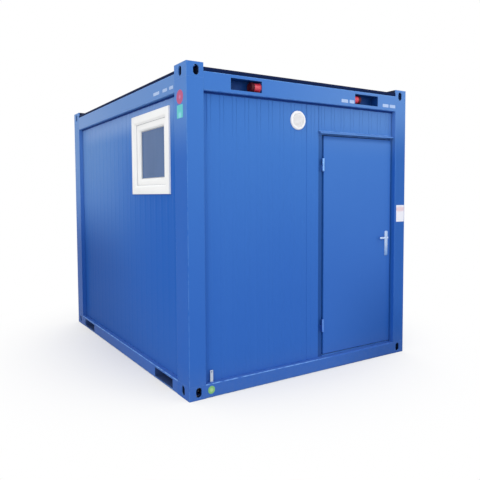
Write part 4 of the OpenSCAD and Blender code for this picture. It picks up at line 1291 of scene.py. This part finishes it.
def dress_head_seals():
    """Dark strips along the tops of the walls, under the roof beams: a painted shadow under the beams' soffits."""
    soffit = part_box("roof_beam_front")[0].z
    crest_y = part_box("front_panel_left")[0].y
    crest_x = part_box("left_panel_middle")[0].x
    post_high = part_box("post_front_left")[1]
    section = [(-0.004, 0.0), (0.004, 0.0), (0.006, -0.003), (0.006, -0.011), (0.003, -0.014),
               (-0.004, -0.014)]
    shape = bmesh.new()
    for side in (1, -1):
        for outward, start in ((Vector((0, side, 0)), Vector((post_high.x, -side * crest_y, soffit))),
                               (Vector((side, 0, 0)), Vector((-side * crest_x, post_high.y, soffit)))):
            along = Vector((abs(outward.y), abs(outward.x), 0))
            end = start - along * 2 * start.dot(along)
            loops = [[spot + outward * out + UP * rise for out, rise in section] for spot in (start, end)]
            loft(shape, loops)
    settle_shape("wall_head_seals", shape, head_seal, "cabin")


def dress_rail():
    """A painted bead of sealant between the rain rail and the wall over the door."""
    low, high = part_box("rain_rail")
    panel_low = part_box("front_panel_over_door")[0]
    end_gap = 0.001
    section = [(0.0035, 0.003), (0.001, 0.003), (-0.003, -0.0005), (-0.007, -0.0067), (0.0035, -0.0024)]
    shape = bmesh.new()
    loft(shape, [[Vector((x, panel_low.y + inward, panel_low.z + rise)) for inward, rise in section]
                 for x in (low.x + end_gap, high.x - end_gap)])
    settle_shape("rain_rail_sealant", shape, rail_paint, "cabin")


def dress_slots():
    """Dark collars behind the upright slots of the corner blocks, painted shade so that they look as deep as
    castings.
    """
    slot_w, slot_h = 0.051, 0.079
    from_side, from_front, from_level = 0.084, 0.104, 0.059
    plate_t, collar_t, depth = 0.010, 0.003, 0.018
    inner = rounded_outline(slot_w, slot_h, slot_w / 2)
    outer = rounded_outline(slot_w + 2 * collar_t, slot_h + 2 * collar_t, slot_w / 2 + collar_t)
    faces = []
    for sx in (-1, 1):
        for sy in (-1, 1):
            for z in (cad_low.z + from_level, cad_high.z - from_level):
                end_place = Vector((sx * (cad_high.x - from_side), sy * cad_high.y, z))
                side_place = Vector((sx * cad_high.x, sy * (cad_high.y - from_front), z))
                faces.append(on_face(end_place, Vector((-sy, 0, 0))))
                faces.append(on_face(side_place, Vector((0, sx, 0))))
    shape = bmesh.new()
    for face in faces:
        loops = []
        for (x, y), (wide_x, wide_y) in zip(inner, outer):
            ring = ((x, y, plate_t), (x, y, plate_t + depth),
                    (wide_x, wide_y, plate_t + depth), (wide_x, wide_y, plate_t))
            loops.append([face @ Vector((a, b, -back)) for a, b, back in ring])
        loft(shape, loops, closed=True)
    settle_shape("corner_slot_collars", shape, dark_primer, "cabin")


# Blank labels

def label(name, place, right, width, height, corner, finish):
    """A thin blank label on an outer face of the frame."""
    shape = bmesh.new()
    rounded_plate(shape, on_face(place, right), width, height, corner, LABEL_T, LABEL_T * 0.4)
    return settle_shape(name, shape, finish, "cabin")


def dress_labels():
    """Blank vinyl labels on the posts and the corner block, and pale strips on the roof beams."""
    left_x, front_y = cad_low.x, cad_low.y
    post_middle_y = front_y + 0.108
    red_at = Vector((left_x, post_middle_y, 2.338))
    red = sticker_material("red_disc_film", tone=colour(0.47, 0.034, 0.165),
                           inner=colour(0.48, 0.148, 0.36), centre=red_at, reach=0.014)
    label("red_disc_label", red_at, RIGHT_ON_LEFT, width=0.108, height=0.108, corner=0.0535, finish=red)
    green_at = Vector((left_x, post_middle_y, 2.228))
    green = sticker_material("turquoise_film", tone=colour(0.06, 0.55, 0.57),
                             inner=colour(0.195, 0.67, 0.785), centre=green_at - UP * 0.028, reach=0.022,
                             softness=0.012)
    label("turquoise_label", green_at, RIGHT_ON_LEFT, width=0.098, height=0.100, corner=0.008, finish=green)
    lime_at = Vector((left_x + 0.197, front_y, 0.060))
    lime = sticker_material("lime_film", tone=colour(0.19, 0.47, 0.15),
                            inner=colour(0.37, 0.625, 0.265), centre=lime_at, reach=0.016)
    label("lime_disc_label", lime_at, RIGHT_ON_FRONT, width=0.063, height=0.063, corner=0.031, finish=lime)
    white_at = Vector((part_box("post_front_right")[1].x - 0.066, front_y, 1.393))
    white = sticker_material("white_film", tone=colour(0.78, 0.79, 0.88),
                             inner=colour(0.74, 0.58, 0.64), centre=white_at + UP * 0.043, reach=0.022,
                             softness=0.012, spread=4.0)
    label("white_post_label", white_at, RIGHT_ON_FRONT, width=0.112, height=0.163, corner=0.004, finish=white)
    for k, (from_front, width) in enumerate(((0.255, 0.070), (0.370, 0.085), (0.535, 0.120))):
        label("pale_strip_left_%d" % k, Vector((left_x, front_y + from_front, 2.433)), RIGHT_ON_LEFT,
              width, height=0.026, corner=0.006, finish=strip_film)
    for k, (from_left, width) in enumerate(((1.615, 0.080), (1.705, 0.060), (2.150, 0.080), (2.246, 0.080))):
        label("pale_strip_front_%d" % k, Vector((left_x + from_left, front_y, 2.428)), RIGHT_ON_FRONT,
              width, height=0.030, corner=0.006, finish=strip_film)


dress_window()
dress_lock()
dress_hinges()
dress_door_seal()
dress_vent()
dress_plugs()
dress_roof()
dress_welds()
dress_head_seals()
dress_rail()
dress_slots()
dress_labels()


# Stage, light and camera

def seen_directly(tree):
    """One for rays from the camera, a mirror or glass, so that they all show the same background."""
    path = add(tree, "ShaderNodeLightPath").outputs
    return largest(tree, path["Is Camera Ray"], path["Is Glossy Ray"], path["Is Transmission Ray"])


def make_floor():
    """A pale studio floor that fades to white away from the cabin."""
    shape = bmesh.new()
    bmesh.ops.create_circle(shape, cap_ends=True, segments=96, radius=FLOOR_RADIUS)
    mesh = bpy.data.meshes.new("studio_floor")
    shape.to_mesh(mesh)
    shape.free()
    floor = bpy.data.objects.new("studio_floor", mesh)
    floor.location.z = -FLOOR_DROP
    scene.collection.objects.link(floor)
    material, tree, surface = new_material("studio_floor")
    mottle = noise(tree, 1.5, 3.0)
    seen = seen_directly(tree)
    shown = mixed(tree, mottle, colour(0.84, 0.83, 0.82), colour(0.86, 0.85, 0.84))
    tree.links.new(mixed(tree, seen, colour(0.58, 0.58, 0.57), shown), surface.inputs["Base Color"])
    surface.inputs["Roughness"].default_value = 0.9
    surface.inputs["Specular IOR Level"].default_value = 0.1
    away = ramp(tree, distance_from(tree, object_place(tree)), *FLOOR_FADE)
    under = use(tree, ROOM_SIDE, Half_width=cad_high.x, Half_length=cad_high.y, Foot=-1.0, Top=1.0)["Mask"]
    far = product(tree, maths(tree, "SUBTRACT", away, under, clamp=True), seen)
    white = add(tree, "ShaderNodeEmission", {"Strength": 1.0})
    blend = add(tree, "ShaderNodeMixShader", {0: far, 1: surface.outputs[0], 2: white.outputs[0]})
    output = next(node for node in tree.nodes if node.type == "OUTPUT_MATERIAL")
    tree.links.new(blend.outputs[0], output.inputs["Surface"])
    mesh.materials.append(material)


def make_world():
    """A white surrounding that lights the cabin a little less than it shows."""
    world = bpy.data.worlds.new("studio_world")
    scene.world = world
    world.use_nodes = True
    tree = world.node_tree
    tree.nodes.clear()
    white = add(tree, "ShaderNodeBackground", {"Color": colour(1, 1, 1), "Strength": 1.0})
    soft = add(tree, "ShaderNodeBackground", {"Color": colour(1, 1, 1), "Strength": SKY_LEVEL})
    blend = add(tree, "ShaderNodeMixShader",
                {0: seen_directly(tree), 1: soft.outputs[0], 2: white.outputs[0]})
    tree.links.new(blend.outputs[0], add(tree, "ShaderNodeOutputWorld").inputs["Surface"])


def make_lamp(name, place, target, size, level):
    """A large square soft box; level is how bright its face is, where white is one."""
    lamp = bpy.data.lights.new(name, "AREA")
    lamp.shape = "SQUARE"
    lamp.size = size
    lamp.energy = math.pi * level * size * size
    holder = bpy.data.objects.new(name, lamp)
    holder.location = place
    holder.rotation_euler = (target - place).to_track_quat("-Z", "Y").to_euler()
    scene.collection.objects.link(holder)


def make_camera():
    """A camera at the photo's place and angle."""
    forward = Vector((math.sin(CAMERA_YAW) * math.cos(CAMERA_PITCH),
                      math.cos(CAMERA_YAW) * math.cos(CAMERA_PITCH), math.sin(CAMERA_PITCH)))
    level = Vector((math.cos(CAMERA_YAW), -math.sin(CAMERA_YAW), 0))
    upright = level.cross(forward)
    right = level * math.cos(CAMERA_ROLL) + upright * math.sin(CAMERA_ROLL)
    up = upright * math.cos(CAMERA_ROLL) - level * math.sin(CAMERA_ROLL)
    turn = Matrix((right, up, -forward)).transposed().to_4x4()
    camera = bpy.data.objects.new("photo_camera", bpy.data.cameras.new("photo_camera"))
    camera.data.sensor_fit = "HORIZONTAL"
    camera.data.sensor_width = CAMERA_SENSOR
    camera.data.lens = CAMERA_LENS
    camera.data.shift_x, camera.data.shift_y = CAMERA_SHIFT
    camera.data.clip_end = CAMERA_SIGHT
    camera.matrix_world = Matrix.Translation(CAMERA_PLACE) @ turn
    scene.collection.objects.link(camera)
    scene.camera = camera


make_floor()
make_world()
make_lamp("overhead_soft_box", Vector((0, -1.0, 7.0)), Vector((0, 0, 0)), size=7.0, level=1.0)
make_lamp("left_soft_box", Vector((-7.5, -6.5, 3.8)), CABIN_MIDDLE, size=4.0, level=2.6)
make_lamp("right_soft_box", Vector((4.5, -8.0, 4.5)), CABIN_MIDDLE, size=4.0, level=2.0)
make_lamp("back_soft_box", Vector((4.0, 8.0, 5.0)), CABIN_MIDDLE, size=4.0, level=1.5)
make_camera()
scene.view_settings.view_transform = "Standard"
